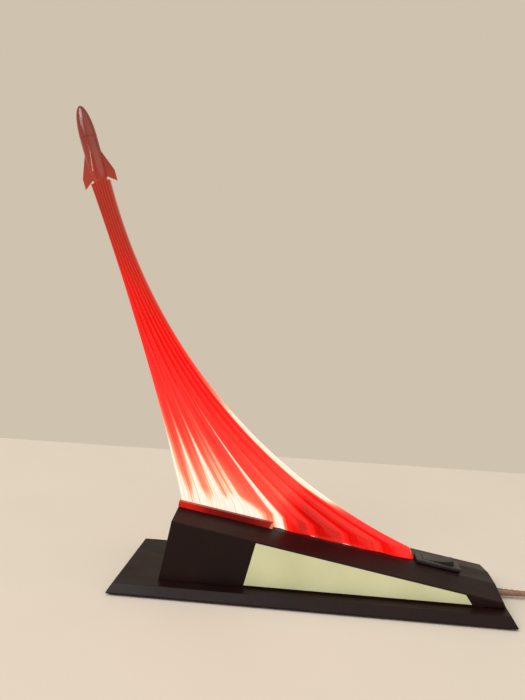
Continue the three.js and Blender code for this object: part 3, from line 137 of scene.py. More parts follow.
def feed(material, shader, **sources):
    """Links sources to the shader's sockets."""
    for name, source in sources.items():
        material.node_tree.links.new(source, shader.inputs[name.replace("_", " ")])


print("middle grey in linear:", round(linear("#808080")[0], 3))

# %% Helpers for finishes
NOISE_DETAIL = 3.0
NOISE_LOW, NOISE_HIGH = 0.3, 0.7  # nearly all of a noise's values lie between these two
EVEN = (1, 1, 1)


def cloud(material, coordinates, size_mm, stretch=EVEN):
    """A soft noise with patches of about the given size. A stretch under 1 draws them out along that axis."""
    placed = add(material, "Mapping", {"Scale": stretch}, Vector=coordinates).outputs[0]
    settings = {"Scale": 1 / (size_mm * MM), "Detail": NOISE_DETAIL}
    return add(material, "TexNoise", settings, Vector=placed).outputs["Fac"]


def mottle(material, coordinates, low, high, size_mm):
    """A soft pattern of one colour into another."""
    patches = cloud(material, coordinates, size_mm)
    stops = [(NOISE_LOW, low), (NOISE_HIGH, high)]
    return add(material, "ValToRGB", {"stops": stops}, Fac=patches).outputs[0]


def wander(material, coordinates, low, high, size_mm, stretch=EVEN):
    """A value, such as a roughness, that wanders between two numbers."""
    span = {"From Min": NOISE_LOW, "From Max": NOISE_HIGH, "To Min": low, "To Max": high}
    return add(material, "MapRange", span, Value=cloud(material, coordinates, size_mm, stretch)).outputs[0]


def relief(material, coordinates, size_mm, depth_mm, stretch=EVEN, under=None):
    """A bump of grains of about the given size and depth, over another bump where one is given."""
    grains = cloud(material, coordinates, size_mm, stretch)
    bump = add(material, "Bump", {"Distance": depth_mm * MM}, Height=grains)
    if under:
        material.node_tree.links.new(under, bump.inputs["Normal"])
    return bump.outputs[0]


print("noise values used:", NOISE_LOW, "to", NOISE_HIGH)

# %% Helpers for pieces
WELD = 0.002 * MM  # corners that lie closer than this are one


def rounded(bm, radius_mm, segments):
    """Rounds every edge of a bmesh."""
    bmesh.ops.bevel(
        bm, geom=bm.edges[:], offset=radius_mm * MM, affect="EDGES", segments=segments, profile=0.5,
        material=-1, clamp_overlap=True,
    )


def piece_from(bm, name, material):
    """Turns a bmesh into a named object at the origin."""
    mesh = bpy.data.meshes.new(name)
    bm.to_mesh(mesh)
    bm.free()
    piece = bpy.data.objects.new(name, mesh)
    scene.collection.objects.link(piece)
    mesh.materials.append(material)
    return piece


def smoothed(piece, sharp_degrees):
    """Shades faces as one surface where they meet at less than the given angle."""
    piece.data.shade_smooth()
    piece.data.set_sharp_from_angle(angle=math.radians(sharp_degrees))


def joined(piece, other):
    """Joins another closed piece to a piece, and deletes the other."""
    modifier = piece.modifiers.new("join", "BOOLEAN")
    modifier.operation = "UNION"
    modifier.solver = "EXACT"
    modifier.object = other
    evaluated = piece.evaluated_get(bpy.context.evaluated_depsgraph_get())
    mesh = bpy.data.meshes.new_from_object(evaluated)
    piece.modifiers.clear()
    old = piece.data
    piece.data = mesh
    bpy.data.meshes.remove(old)
    bpy.data.objects.remove(other)
    return piece


def finish_nodes(material, *names):
    """Gives the frame's own pieces of these names a finish."""
    for name in names:
        nodes[name].material_slots[0].material = material


print("corners weld within, mm:", round(WELD / MM, 3))

# %% [markdown]
# ## The mains lead
# A small lamp like this has about a metre and a half of thin round two-core lead. It leaves the low end of
# the base through a tapered sleeve, drops to the table, and runs out of the picture. The rest is put away
# there as a neat coil of four layers with a tie, and ends in a flat plug. A cloth or rope simulation could
# lay it down, but the frame already has its route, so one smooth curve through the same points is simpler and
# always the same.

# %% The lead's route
LEAD_RADIUS = 1.8 * MM
ENTRY_Y = 3.7
COIL_X, COIL_RADIUS = 214.0, 21.0
COIL_PITCH = 4.1  # from one turn's middle to the next one's, across and up
LAYERS, TURNS_PER_LAYER = 4, 2.75
CLIMB_TURNS = 0.5  # the lead climbs from one layer to the next over this much of a turn
COIL_REST = 1.2  # the height of the lowest layer's middle over the lamp's underside
STEPS_PER_TURN = 24
COIL_OUTER = COIL_RADIUS + COIL_PITCH * TURNS_PER_LAYER / 2
COIL_INNER = COIL_RADIUS - COIL_PITCH * TURNS_PER_LAYER / 2
COIL_Y = ENTRY_Y - COIL_OUTER


def smooth_step(share):
    """0 below a share of 0, 1 above a share of 1, and a smooth rise between."""
    held = min(max(share, 0.0), 1.0)
    return held * held * (3 - 2 * held)


def coil_point(turns):
    """A point of the coil, which winds inwards in one layer and back outwards in the next."""
    layer = min(int(turns // TURNS_PER_LAYER), LAYERS - 1)
    inward = turns - layer * TURNS_PER_LAYER
    radius = COIL_OUTER - COIL_PITCH * inward if layer % 2 == 0 else COIL_INNER + COIL_PITCH * inward
    climbs = [smooth_step((turns - k * TURNS_PER_LAYER) / CLIMB_TURNS + 0.5) for k in range(1, LAYERS)]
    angle = math.pi / 2 - 2 * math.pi * turns
    height = COIL_REST + COIL_PITCH * sum(climbs)
    return (COIL_X + radius * math.cos(angle), COIL_Y + radius * math.sin(angle), height)


COIL_TURNS = TURNS_PER_LAYER * LAYERS
coil_steps = round(COIL_TURNS * STEPS_PER_TURN)
coil_route = [coil_point(COIL_TURNS * i / coil_steps) for i in range(coil_steps + 1)]
# The places from the sleeve to the coil, and from the coil to the plug, have their Y measured from the exit.
FREE_PLACES = [
    (165.3, 0, 3.4), (169, 0, 3.3), (174, 0.4, 2.4), (180, 1.4, 1.1), (187, 2, 0.4),
    (195, 1.4, 0.5), (202, 0.3, 1), (207, 0, 1.2), (210.4, 0, 1.2),
]
TAIL_PLACES = [
    (217.6, 0, 13.5), (224, -0.2, 13.5), (232, -2.4, 12.1), (242, -7.1, 9.3), (252, -9.6, 8),
    (260, -15.6, 5.9), (263.6, -22.6, 5.4), (264, -28.4, 5.35),
]
free_route = [(x, y + ENTRY_Y, z) for x, y, z in FREE_PLACES]
tail_route = [(x, y + ENTRY_Y, z) for x, y, z in TAIL_PLACES]
print("turns in the coil:", round(COIL_TURNS, 2), "middle of the coil:", round(COIL_Y, 2))

# %% The lead as a curve
# The bevel's depth is 1 and each point's radius is the lead's, because a curve's box grows by that radius.
lead_curve = bpy.data.curves.new("mains_lead", "CURVE")
lead_curve.dimensions = "3D"
lead_curve.bevel_depth = 1.0
lead_curve.bevel_resolution = 4
lead_curve.use_fill_caps = True
route = free_route + coil_route + tail_route
spline = lead_curve.splines.new("NURBS")
spline.points.add(len(route) - 1)
for point, place in zip(spline.points, route):
    point.co = (*(Vector(place) * MM), 1)
    point.radius = LEAD_RADIUS
spline.order_u = 3
spline.use_endpoint_u = True
spline.resolution_u = 2
mains_lead = bpy.data.objects.new("mains_lead", lead_curve)
scene.collection.objects.link(mains_lead)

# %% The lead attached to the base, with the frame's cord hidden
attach(mains_lead, "base")
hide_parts("mains_cord", "cord_coil", "cord_tail")

# %% [markdown]
# ## Brown vinyl for the lead
# The lead's sheath is soft vinyl pressed over the twisted cores. It is smooth but not glossy, with a faint
# waviness where the cores show through, and it picks up a little dust. The waves could follow the lead on its
# own map, but Object coordinates are enough, because the pattern is much finer than the lead's curves. The
# wires inside wear the same vinyl in red and blue.

# %% Lead and wires
vinyl, shader = finish_named("brown_vinyl_sheath_extruded", Roughness=0.5, IOR=1.52)
place = add(vinyl, "TexCoord").outputs["Object"]
tone = mottle(vinyl, place, "#6b4c38", "#82614a", size_mm=9)
dust = relief(vinyl, place, size_mm=0.8, depth_mm=0.03)
bump = relief(vinyl, place, size_mm=5, depth_mm=0.10, under=dust)
feed(vinyl, shader, Base_Color=tone, Normal=bump)
mains_lead.data.materials.append(vinyl)
finish_nodes(vinyl, "inner_lead", "cord_entry")

WIRES = [
    ("red_vinyl_covering", "#95301f", "#b0402f", ("mains_core_live", "live_wire", "switched_wire")),
    ("blue_vinyl_covering", "#2b4d78", "#3d628e", ("mains_core_neutral", "neutral_wire")),
]
for name, low, high, wires in WIRES:
    covering, shader = finish_named(name, Roughness=0.42, IOR=1.52)
    place = add(covering, "TexCoord").outputs["Object"]
    tone = mottle(covering, place, low, high, size_mm=6)
    feed(covering, shader, Base_Color=tone, Normal=relief(covering, place, size_mm=1.2, depth_mm=0.03))
    finish_nodes(covering, *wires)
print("lead and wire finishes:", 1 + len(WIRES))

# %% [markdown]
# ## Dark moulded base
# The base is two ABS mouldings in a maroon so dark that it reads as black until light falls along it. A
# moulding takes the fine sparked texture of its mould, so it has a satin gloss and no sharp highlight. The
# hue wanders a little where the plastic flowed, and the surface holds dust along its length. The spark
# texture is really about 0.1 mm across, too fine for this picture, so its grains are drawn at 0.6 to 0.8 mm.
# A slower wave under them stands for the slight sinking of a thin wall. The ivory panels are polystyrene,
# shinier than ABS and a little greenish.

# %% Moulded plastics
abs_maroon, shader = finish_named("dark_maroon_abs_moulded", IOR=1.54, Specular_IOR_Level=0.12)
place = add(abs_maroon, "TexCoord").outputs["Object"]
tone = mottle(abs_maroon, place, "#120606", "#1c0b0a", size_mm=45)
gloss = wander(abs_maroon, place, 0.38, 0.50, size_mm=14, stretch=(0.4, 1, 1))
sinks = relief(abs_maroon, place, size_mm=12, depth_mm=0.08)
bump = relief(abs_maroon, place, size_mm=0.7, depth_mm=0.05, under=sinks)
feed(abs_maroon, shader, Base_Color=tone, Roughness=gloss, Normal=bump)
finish_nodes(abs_maroon, "plinth", "housing")

ivory, shader = finish_named("ivory_polystyrene_moulded", IOR=1.59)
place = add(ivory, "TexCoord").outputs["Object"]
tone = mottle(ivory, place, "#b5b48a", "#c3c29b", size_mm=38)
gloss = wander(ivory, place, 0.32, 0.42, size_mm=10)
sinks = relief(ivory, place, size_mm=30, depth_mm=0.10)
bump = relief(ivory, place, size_mm=0.6, depth_mm=0.04, under=sinks)
feed(ivory, shader, Base_Color=tone, Roughness=gloss, Normal=bump)
finish_nodes(ivory, "side_panel_front", "side_panel_back", "lampholder_body", "terminal_block")

black, shader = finish_named("black_abs_moulded", IOR=1.54)
place = add(black, "TexCoord").outputs["Object"]
tone = mottle(black, place, "#0f0d0c", "#1b1716", size_mm=20)
gloss = wander(black, place, 0.34, 0.46, size_mm=8)
bump = relief(black, place, size_mm=0.8, depth_mm=0.06)
feed(black, shader, Base_Color=tone, Roughness=gloss, Normal=bump)
finish_nodes(black, "bottom_cover", "switch_housing", "switch_rocker", "cord_clamp", "cord_tie", "plug_body")
print("moulded plastics:", [plastic.name for plastic in (abs_maroon, ivory, black)])

# %% [markdown]
# ## Metals and rubber
# The screws, the plume's clamp, the bracket and the reflector are zinc-plated steel, which is a pale bluish
# grey with a soft sheen and fine marks from the tumbling barrel. The bulb's cap, the lampholder's sleeve, the
# contacts and the plug's pins are brass, browner where fingers have been, with the lathe's fine marks. The
# feet are plain black rubber, matt and slightly dusty. The marks and the dust are drawn coarser than they
# are, at 0.5 to 0.9 mm, so that they show at all.

# %% Metals and rubber
zinc, shader = finish_named("zinc_plated_steel_tumbled", Metallic=1.0)
place = add(zinc, "TexCoord").outputs["Object"]
tone = mottle(zinc, place, "#9a9c9d", "#bcbfc2", size_mm=7)
gloss = wander(zinc, place, 0.28, 0.42, size_mm=2.5)
bump = relief(zinc, place, size_mm=0.9, depth_mm=0.03, stretch=(1, 0.3, 1))
feed(zinc, shader, Base_Color=tone, Roughness=gloss, Normal=bump)
cover_screws = [name for name in nodes if name.startswith("cover_screw")]
saddle_screws = [name for name in nodes if name.startswith("clamp_s")]
finish_nodes(zinc, "plume_clamp_front", "plume_clamp_back", "lampholder_bracket", "lampholder_screw")
finish_nodes(zinc, "reflector", *cover_screws, *saddle_screws)
print("plated screws:", len(cover_screws) + len(saddle_screws))

brass, shader = finish_named("brass_turned", Metallic=1.0)
place = add(brass, "TexCoord").outputs["Object"]
tone = mottle(brass, place, "#9c7a3c", "#c19c55", size_mm=5)
gloss = wander(brass, place, 0.22, 0.34, size_mm=2)
bump = relief(brass, place, size_mm=0.5, depth_mm=0.02, stretch=(1, 1, 4))
feed(brass, shader, Base_Color=tone, Roughness=gloss, Normal=bump)
finish_nodes(brass, "bulb_cap", "lampholder_sleeve", "lampholder_contact", "switch_contact")
finish_nodes(brass, "switch_terminal_feed", "switch_terminal_load", "plug_pin_left", "plug_pin_right")

rubber, shader = finish_named("black_rubber_moulded", IOR=1.52)
place = add(rubber, "TexCoord").outputs["Object"]
tone = mottle(rubber, place, "#1c1b1a", "#2b2927", size_mm=4)
gloss = wander(rubber, place, 0.62, 0.76, size_mm=3)
bump = relief(rubber, place, size_mm=0.7, depth_mm=0.06)
feed(rubber, shader, Base_Color=tone, Roughness=gloss, Normal=bump)
finish_nodes(rubber, *[name for name in nodes if name.startswith("rubber_foot")])

# %% [markdown]
# ## The small lamp
# A pygmy bulb lies under the plume's foot. Its envelope is thin clear glass, blown, with the slow waves that
# the blowing leaves, and its stem carries the lit wire. Both are inside the housing, so they light nothing
# here: the plume's own finish carries its light, which is quicker to render than rays that find their way
# through a slot.

# %% Bulb
glass, shader = finish_named("clear_soda_glass_blown", Roughness=0.03, IOR=1.52, Transmission_Weight=1.0)
place = add(glass, "TexCoord").outputs["Object"]
tone = mottle(glass, place, "#f3efe6", "#fdfbf6", size_mm=12)
feed(glass, shader, Base_Color=tone, Normal=relief(glass, place, size_mm=8, depth_mm=0.05))
finish_nodes(glass, "bulb_glass")

filament, shader = finish_named("lit_tungsten_wire_on_glass_stem", Roughness=0.4, Emission_Strength=2.0)
place = add(filament, "TexCoord").outputs["Object"]
tone = mottle(filament, place, "#b9b2a6", "#d8d2c6", size_mm=3)
heat = mottle(filament, place, "#ff9c4a", "#ffd9a0", size_mm=2)
feed(filament, shader, Base_Color=tone, Emission_Color=heat)
finish_nodes(filament, "bulb_stem")
print("bulb finishes:", [finish.name for finish in (glass, filament)])

# %% [markdown]
# ## Plume
# The plume is one casting of clear red acrylic. Its faces are fluted, and the light from its foot runs up the
# flutes to the neck and shows most where they meet, on the two edges and just over the lamp. It could be
# carved with a displacement, but a flat grid moved onto the blade's own formula keeps every flute exact and
# gives the surface a map across and up it, which the light's pattern can follow.

# %% The blade's edges
SEAT_GAP = 0.3
RIDGE_START_X, RIDGE_START_Z = -102.0, 55.0
RIDGE_FALL, RIDGE_RUN = 39.5, 240
RIDGE_SLOPE = RIDGE_FALL / RIDGE_RUN
FOOT_LEFT, FOOT_RIGHT = 100.5, 79.0
TOE_RUN, TOE_HEIGHT = 3.0, 8.0
FOOT_THICKNESS, NECK_THICKNESS, NECK_WIDTH = 13.0, 10.0, 15.0
LEADING_SAG, TRAILING_SAG = 4.0, 41.0
CAST_LEVELS = 22  # the frame's blade has this many levels, and the toe's blunt end takes the lowest one
ROCKET_TIP = Vector((-193, 0, 357))
ROCKET_LENGTH = 60.0
LEAN = math.radians(18)  # of the rocket, from upright
rocket_axis = Vector((-math.sin(LEAN), 0, math.cos(LEAN)))
rocket_across = Vector((math.cos(LEAN), 0, math.sin(LEAN)))
neck_middle = ROCKET_TIP - rocket_axis * (ROCKET_LENGTH + SEAT_GAP)
neck_left = neck_middle - rocket_across * NECK_WIDTH / 2
neck_right = neck_middle + rocket_across * NECK_WIDTH / 2


def ridge_height(x):
    """The height of the housing's ridge, on which the blade stands."""
    return RIDGE_START_Z - RIDGE_SLOPE * (x - RIDGE_START_X)


foot_left = Vector((-FOOT_LEFT, 0, ridge_height(-FOOT_LEFT) + SEAT_GAP))
toe = Vector((FOOT_RIGHT, 0, ridge_height(FOOT_RIGHT) + SEAT_GAP))
toe_top = toe + Vector((-TOE_RUN, 0, TOE_HEIGHT))


def arc_point(start, end, sag, share):
    """A point on the arc whose middle lies off the chord by the sag, to the chord's left."""
    chord = end - start
    half = chord.length / 2
    radius = (half * half + sag * sag) / (2 * sag)
    angle = (2 * share - 1) * math.asin(half / radius)
    along = chord.normalized()
    off = Vector((-along.z, 0, along.x))
    rise = sag - radius + radius * math.cos(angle)
    return (start + end) / 2 + along * radius * math.sin(angle) + off * rise


def blade_edges(level):
    """The leading and the trailing edge's points at a level, which is 0 at the foot and 1 at the neck."""
    left = arc_point(foot_left, neck_left, -LEADING_SAG, level)
    first = 1 / CAST_LEVELS
    if level < first:
        return left, toe.lerp(toe_top, level / first)
    return left, arc_point(toe_top, neck_right, TRAILING_SAG, (level - first) / (1 - first))


print("neck middle:", [round(c, 2) for c in neck_middle])

# %% [markdown]
# The thickness at a place across the blade is that of a rounded slab with seven hollow flutes cut in it,
# which fade out before the two edges. Seven cutters and a boolean would do it too, but they would not narrow
# with the blade.

# %% The blade's thickness
FLUTES = 7
FLUTE_DEPTH = 0.34
EDGE_ROUNDNESS = 3.2
CALM_FROM = 0.86  # the flutes fade from here, as a share of the way from the middle to an edge


def half_thickness(place, level):
    """Half the blade's thickness at a place, which is 0 at the leading edge and 1 at the trailing edge."""
    from_middle = abs(2 * place - 1)
    slab = max(1 - from_middle**EDGE_ROUNDNESS, 0) ** (1 / EDGE_ROUNDNESS)
    crest = abs(math.sin(math.pi * FLUTES * place))
    calm = (1 - from_middle) / (1 - CALM_FROM) if from_middle > CALM_FROM else 1
    thickness = FOOT_THICKNESS + (NECK_THICKNESS - FOOT_THICKNESS) * level
    return thickness / 2 * slab * (1 - FLUTE_DEPTH * calm * (1 - crest))


print("thickness over the lamp, mm:", round(2 * half_thickness(0.25, 0), 2))

# %% The blade's mesh
# The grid runs from -0.5 to 0.5 both ways. Half of the blade is shaped from it, and the half's mirror image
# closes it.
PER_FLUTE, PER_LEVEL = 16, 4
bm = bmesh.new()
uv = bm.loops.layers.uv.new("across_and_up")
bmesh.ops.create_grid(
    bm, x_segments=FLUTES * PER_FLUTE, y_segments=CAST_LEVELS * PER_LEVEL, size=0.5, calc_uvs=True
)
for vert in bm.verts:
    place, level = vert.co.x + 0.5, vert.co.y + 0.5
    left, right = blade_edges(level)
    vert.co = (left.lerp(right, place) + Vector((0, -half_thickness(place, level), 0))) * MM
back = bmesh.ops.duplicate(bm, geom=bm.verts[:] + bm.edges[:] + bm.faces[:])["geom"]
back_verts = [item for item in back if isinstance(item, bmesh.types.BMVert)]
bmesh.ops.scale(bm, verts=back_verts, vec=(1, -1, 1))
bmesh.ops.remove_doubles(bm, verts=bm.verts, dist=WELD)
rims = [edge for edge in bm.edges if edge.is_boundary]
ends = bmesh.ops.holes_fill(bm, edges=rims, sides=0)["faces"]
for face in ends:
    for loop in face.loops:
        beside = next(other for other in loop.vert.link_loops if other.face not in ends)
        loop[uv].uv = beside[uv].uv
bmesh.ops.recalc_face_normals(bm, faces=bm.faces)
print("blade faces:", len(bm.faces), "ends:", len(ends))

# %% [markdown]
# Light that travels inside acrylic comes out of it wherever the surface is marked, so the blade's finish has
# emission. It could be drawn with a chain of maths nodes, but it is easier to read as a few lines of Python
# that give each corner of the mesh one value, from 0, dark, to 1, near white. Across the blade, 0 is the
# leading edge and 1 the trailing edge, and up it, 0 is the foot and 1 the neck. The lamp lights a fan that
# opens from the left of the foot and leaves the toe in shade. Rays run up the flutes, thin above and wide at
# the foot, both edges catch the light, and a ragged bright patch lies just over the lamp.

# %% The light's pattern
# A ray: its place in flutes from the leading edge, its strength, its widening below, and how far up it ends.
RAYS = [
    (0.67, 0.26, 0.12, 0.46), (1.33, 0.34, 0.18, 0.46), (1.75, 0.14, 0.04, 0.42), (2.00, 0.20, 0.08, 0.60),
    (3.05, 0.46, 0.14, 0.62), (4.00, 0.12, 0.08, 0.70), (5.00, 0.09, 0.05, 0.80), (6.00, 0.12, 0.05, 0.80),
]
# A spot: its middle across and up, half its width and half its height, and its strength.
SPOTS = [
    (0.28, 0.02, 0.11, 0.07, 0.54), (0.12, 0.00, 0.17, 0.095, 0.34), (0.03, 0.01, 0.05, 0.12, 0.28),
    (0.40, 0.00, 0.08, 0.05, 0.16), (0.18, 0.00, 0.26, 0.24, 0.18),
]
# Each pair below is a fade: full up to its first number and gone at its second.
# The fan of light ends at this place across the foot, leans and bends out above it, and has a soft border.
FAN_START, FAN_LEAN, FAN_BEND, FAN_BORDER = 0.42, 0.6, 5, (-0.05, 0.10)
# Outside it is shade, which lifts towards the toe, and inside it the blade is lit, more so near the foot.
SHADE, TOE_LIFT, TOE_FADE = 0.43, 0.05, (0.60, 0.85)
LIT, FOOT_LIFT, FOOT_FADE = 0.48, 0.18, (0.08, 0.60)
# A ray is full in its core and gone at its half width, in flutes. It widens below, and is full up to the last
# number.
RAY_CORE, RAY_HALF_WIDTH, RAY_WIDENS, RAY_FULL_TO = 0.03, 0.10, (0.03, 0.30), 0.16
# Both edges are lit, with one fade across and one up. The trailing edge is dim at the toe and opens above it.
LEADING, LEADING_ACROSS, LEADING_UP = 0.34, (0.0, 0.05), (0.15, 0.55)
TRAILING, TRAILING_ACROSS, TRAILING_UP = 0.72, (0.03, 0.12), (0.34, 0.70)
TRAILING_AT_TOE, TRAILING_OPENS = 0.1, (0.15, 0.27)
# A spot is full up to this share of its half sizes from its middle, and gone at the second share.
SPOT_FADE = (0.2, 1.4)
print("rays:", len(RAYS), "spots:", len(SPOTS))


# %% The light in the blade
def fade(value, start, end):
    """1 at the start, falling smoothly to 0 at the end."""
    return 1 - smooth_step((value - start) / (end - start))


def light_at(across, up):
    """The light that leaves the blade at a place, from 0 to 1."""
    fan_end = FAN_START + FAN_LEAN * up + FAN_BEND * up * up
    shade = SHADE + TOE_LIFT * (1 - fade(across, *TOE_FADE))
    lit = LIT + FOOT_LIFT * fade(up, *FOOT_FADE)
    light = shade + (lit - shade) * fade(across - fan_end, *FAN_BORDER)
    for flute, strength, widening, end in RAYS:
        half_width = RAY_HALF_WIDTH + widening * fade(up, *RAY_WIDENS)
        beside = abs(FLUTES * across - flute)
        light += strength * fade(beside, RAY_CORE, half_width) * fade(up, RAY_FULL_TO, end)
    light += LEADING * fade(across, *LEADING_ACROSS) * fade(up, *LEADING_UP)
    opened = TRAILING_AT_TOE + (1 - TRAILING_AT_TOE) * (1 - fade(up, *TRAILING_OPENS))
    light += TRAILING * fade(1 - across, *TRAILING_ACROSS) * opened * fade(up, *TRAILING_UP)
    spots = []
    for middle, height, half_width, half_height, strength in SPOTS:
        away = math.hypot((across - middle) / half_width, (up - height) / half_height)
        spots.append(strength * fade(away, *SPOT_FADE))
    return min(light + max(spots), 1.0)


print("light over the lamp and at the toe:", round(light_at(0.25, 0.02), 2), round(light_at(0.95, 0.02), 2))

# %% [markdown]
# ## Lit acrylic of the plume
# The casting is clear red acrylic, polished, with faint streaks that run up the flutes. Lit from inside, it
# shows little gloss. A ramp of glow over a dark red base is chosen in place of a glass shader with a light in
# it, which would be noisy and slow. The ramp turns the light's value into colour: the deep red of the shaded
# toe, clear red, salmon, and the near white of the rays. Near the neck little light is left, and the blade
# turns a dull brown red.

# %% Finish of the plume
STREAK_MM, STREAK_LENGTH_MM, STREAK_GLOW_DEPTH = 1.5, 200, 0.44
plume_acrylic, shader = finish_named(
    "clear_red_acrylic_cast_fluted", Roughness=0.14, IOR=1.49, Specular_IOR_Level=0.3,
    Transmission_Weight=0.25, Emission_Strength=1.0,
)
place = add(plume_acrylic, "TexCoord").outputs["UV"]
up = add(plume_acrylic, "SeparateXYZ", Vector=place).outputs["Y"]
light = add(plume_acrylic, "Attribute", {"attribute_name": "light"}).outputs["Fac"]
blade_width, blade_length = FOOT_LEFT + FOOT_RIGHT, (neck_middle - foot_left).length
# The casting's streaks are painted into the glow: a noise drawn out up the blade makes its light a little
# brighter and dimmer along the flutes.
streaks = {"Scale": (blade_width / STREAK_MM, blade_length / STREAK_LENGTH_MM, 1)}
drawn_out = add(plume_acrylic, "Mapping", streaks, Vector=place).outputs[0]
unscaled = {"Scale": 1.0, "Detail": NOISE_DETAIL}
noise = add(plume_acrylic, "TexNoise", unscaled, Vector=drawn_out).outputs["Fac"]
around_one = {"operation": "MULTIPLY_ADD", 1: STREAK_GLOW_DEPTH, 2: 1 - STREAK_GLOW_DEPTH / 2}
share = add(plume_acrylic, "Math", around_one, _0=noise).outputs[0]
light = add(plume_acrylic, "Math", {"operation": "MULTIPLY"}, _0=light, _1=share).outputs[0]
GLOW = [
    (0.0, "#1d0000"), (0.34, "#860200"), (0.42, "#ac0401"), (0.50, "#e2100a"), (0.60, "#ee2a22"),
    (0.70, "#f4503c"), (0.82, "#f98664"), (0.92, "#fcc79a"), (1.0, "#fff8e6"),
]
glow = add(plume_acrylic, "ValToRGB", {"stops": GLOW}, Fac=light).outputs[0]
# The dull red comes in over this stretch up the blade, and reaches this share of the colour.
DULL_FROM, DULL_TO, DULL_SHARE = 0.58, 0.95, 0.9
fading = {
    "interpolation_type": "SMOOTHSTEP", "From Min": DULL_FROM, "From Max": DULL_TO, "To Max": DULL_SHARE,
}
dulled = add(plume_acrylic, "MapRange", fading, Value=up).outputs[0]
glow = add(plume_acrylic, "Mix", {"data_type": "RGBA", 7: linear("#7c3020")}, _0=dulled, _6=glow).outputs[2]
own = add(plume_acrylic, "TexCoord").outputs["Object"]
tone = mottle(plume_acrylic, own, "#6e0a07", "#7d0d09", size_mm=60)
bump = relief(plume_acrylic, own, size_mm=16, depth_mm=0.04)
feed(plume_acrylic, shader, Emission_Color=glow, Base_Color=tone, Normal=bump)
print("glow stops:", len(GLOW))

# %% [markdown]
# Two tenons under the foot go through slots in the ridge. One lets the lamp's light in, and the other is
# gripped by the clamp. They could be extruded from the foot, but its edge is curved by the flutes, so they
# are rounded boxes, joined to the blade with a boolean that leaves one closed piece.

# %% Plume
# A tenon: where it starts along the ridge, its length and its depth below the ridge.
TENON_THICKNESS, TENON_ROOT, TENON_ROUNDING = 8.0, 2.5, 0.6
RIDGE_ANGLE = math.atan(RIDGE_SLOPE)
CLAMP_TO_TOE = 79.4
CLAMP_TENON_START = (FOOT_RIGHT - RIDGE_START_X) / math.cos(RIDGE_ANGLE) - CLAMP_TO_TOE
TENONS = {"light_tenon": (10.0, 62.0, 2.6), "clamp_tenon": (CLAMP_TENON_START, 42.0, 12.5)}
PLUME_SHARP_DEGREES = 80
ridge_start = Vector((RIDGE_START_X, 0, RIDGE_START_Z)) * MM
ridge_frame = Matrix.Translation(ridge_start) @ Matrix.Rotation(RIDGE_ANGLE, 4, "Y")
plume = piece_from(bm, "fluted_plume", plume_acrylic)
for name, (start, length, depth) in TENONS.items():
    bm = bmesh.new()
    bmesh.ops.create_cube(bm, size=1)
    height = depth + TENON_ROOT
    bmesh.ops.scale(bm, verts=bm.verts, vec=Vector((length, TENON_THICKNESS, height)) * MM)
    rounded(bm, TENON_ROUNDING, segments=2)
    middle = Vector((start + length / 2, 0, height / 2 - depth)) * MM
    bmesh.ops.transform(bm, matrix=ridge_frame @ Matrix.Translation(middle), verts=bm.verts)
    plume = joined(plume, piece_from(bm, name, plume_acrylic))
smoothed(plume, PLUME_SHARP_DEGREES)
light_values = plume.data.attributes.new("light", "FLOAT", "CORNER")
for corner, place in zip(light_values.data, plume.data.uv_layers["across_and_up"].data):
    corner.value = light_at(*place.uv)
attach(plume, "base")
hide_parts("plume")
print("plume faces:", len(plume.data.polygons))

# %% [markdown]
# ## Rocket
# The rocket is a small turned spear of the same acrylic with four fins. Rings bridged one by one would make
# its body too, but a spin of its profile about its own axis is what a lathe does. Each fin is one outline
# given its thickness and a soft edge, and joined on at a quarter turn from the last. It glows faintly from
# the light that reaches it through the neck, most at its tail, so its finish reads the object's own height.

# %% Rocket's acrylic
rocket_acrylic, shader = finish_named(
    "clear_red_acrylic_turned", Roughness=0.16, IOR=1.49, Transmission_Weight=0.3, Emission_Strength=1.0
)
own = add(rocket_acrylic, "TexCoord").outputs["Object"]
height = add(rocket_acrylic, "SeparateXYZ", Vector=own).outputs["Z"]
LIT_FROM, DARK_FROM = 290 * MM, 345 * MM  # heights near the rocket's tail and near its tip
fading = {"From Min": LIT_FROM, "From Max": DARK_FROM, "To Min": 1.0, "To Max": 0.0}
lit = add(rocket_acrylic, "MapRange", fading, Value=height).outputs[0]
ROCKET_GLOW = [(0.0, "#3b100b"), (0.5, "#5a1a12"), (1.0, "#8f2a1c")]
glow = add(rocket_acrylic, "ValToRGB", {"stops": ROCKET_GLOW}, Fac=lit).outputs[0]
tone = mottle(rocket_acrylic, own, "#6f2519", "#843223", size_mm=18)
bump = relief(rocket_acrylic, own, size_mm=3, depth_mm=0.03)
feed(rocket_acrylic, shader, Emission_Color=glow, Base_Color=tone, Normal=bump)
print("rocket glow stops:", len(ROCKET_GLOW))

# %% Rocket's body
# The profile runs as radius and height, from the spigot in the neck past the tail to the groove at the nose.
BODY_RADIUS, SPIGOT_RADIUS, SPIGOT_LENGTH = 6.5, 2.0, 8.0
GROOVE_RADIUS = 6.15
NOSE_START, NOSE_END, NOSE_STEPS = 34.8, 59.85, 16
TURN_STEPS = 64
profile = [
    (0, -SPIGOT_LENGTH), (SPIGOT_RADIUS, -SPIGOT_LENGTH), (SPIGOT_RADIUS, 0), (4.6, 0), (5.75, 2.6),
    (6.35, 5), (BODY_RADIUS, 7), (BODY_RADIUS, 20), (BODY_RADIUS, 33.6), (GROOVE_RADIUS, 33.95),
    (GROOVE_RADIUS, 34.45),
]
for i in range(NOSE_STEPS + 1):
    angle = math.pi / 2 * i / NOSE_STEPS
    profile.append((BODY_RADIUS * math.cos(angle), NOSE_START + (NOSE_END - NOSE_START) * math.sin(angle)))
rocket_seat = neck_middle * MM + rocket_axis * SEAT_GAP * MM
rocket_turn = Matrix.Translation(rocket_seat) @ Matrix.Rotation(-LEAN, 4, "Y")
bm = bmesh.new()
line = [bm.verts.new((radius * MM, 0, height * MM)) for radius, height in profile]
edges = [bm.edges.new(pair) for pair in zip(line, line[1:])]
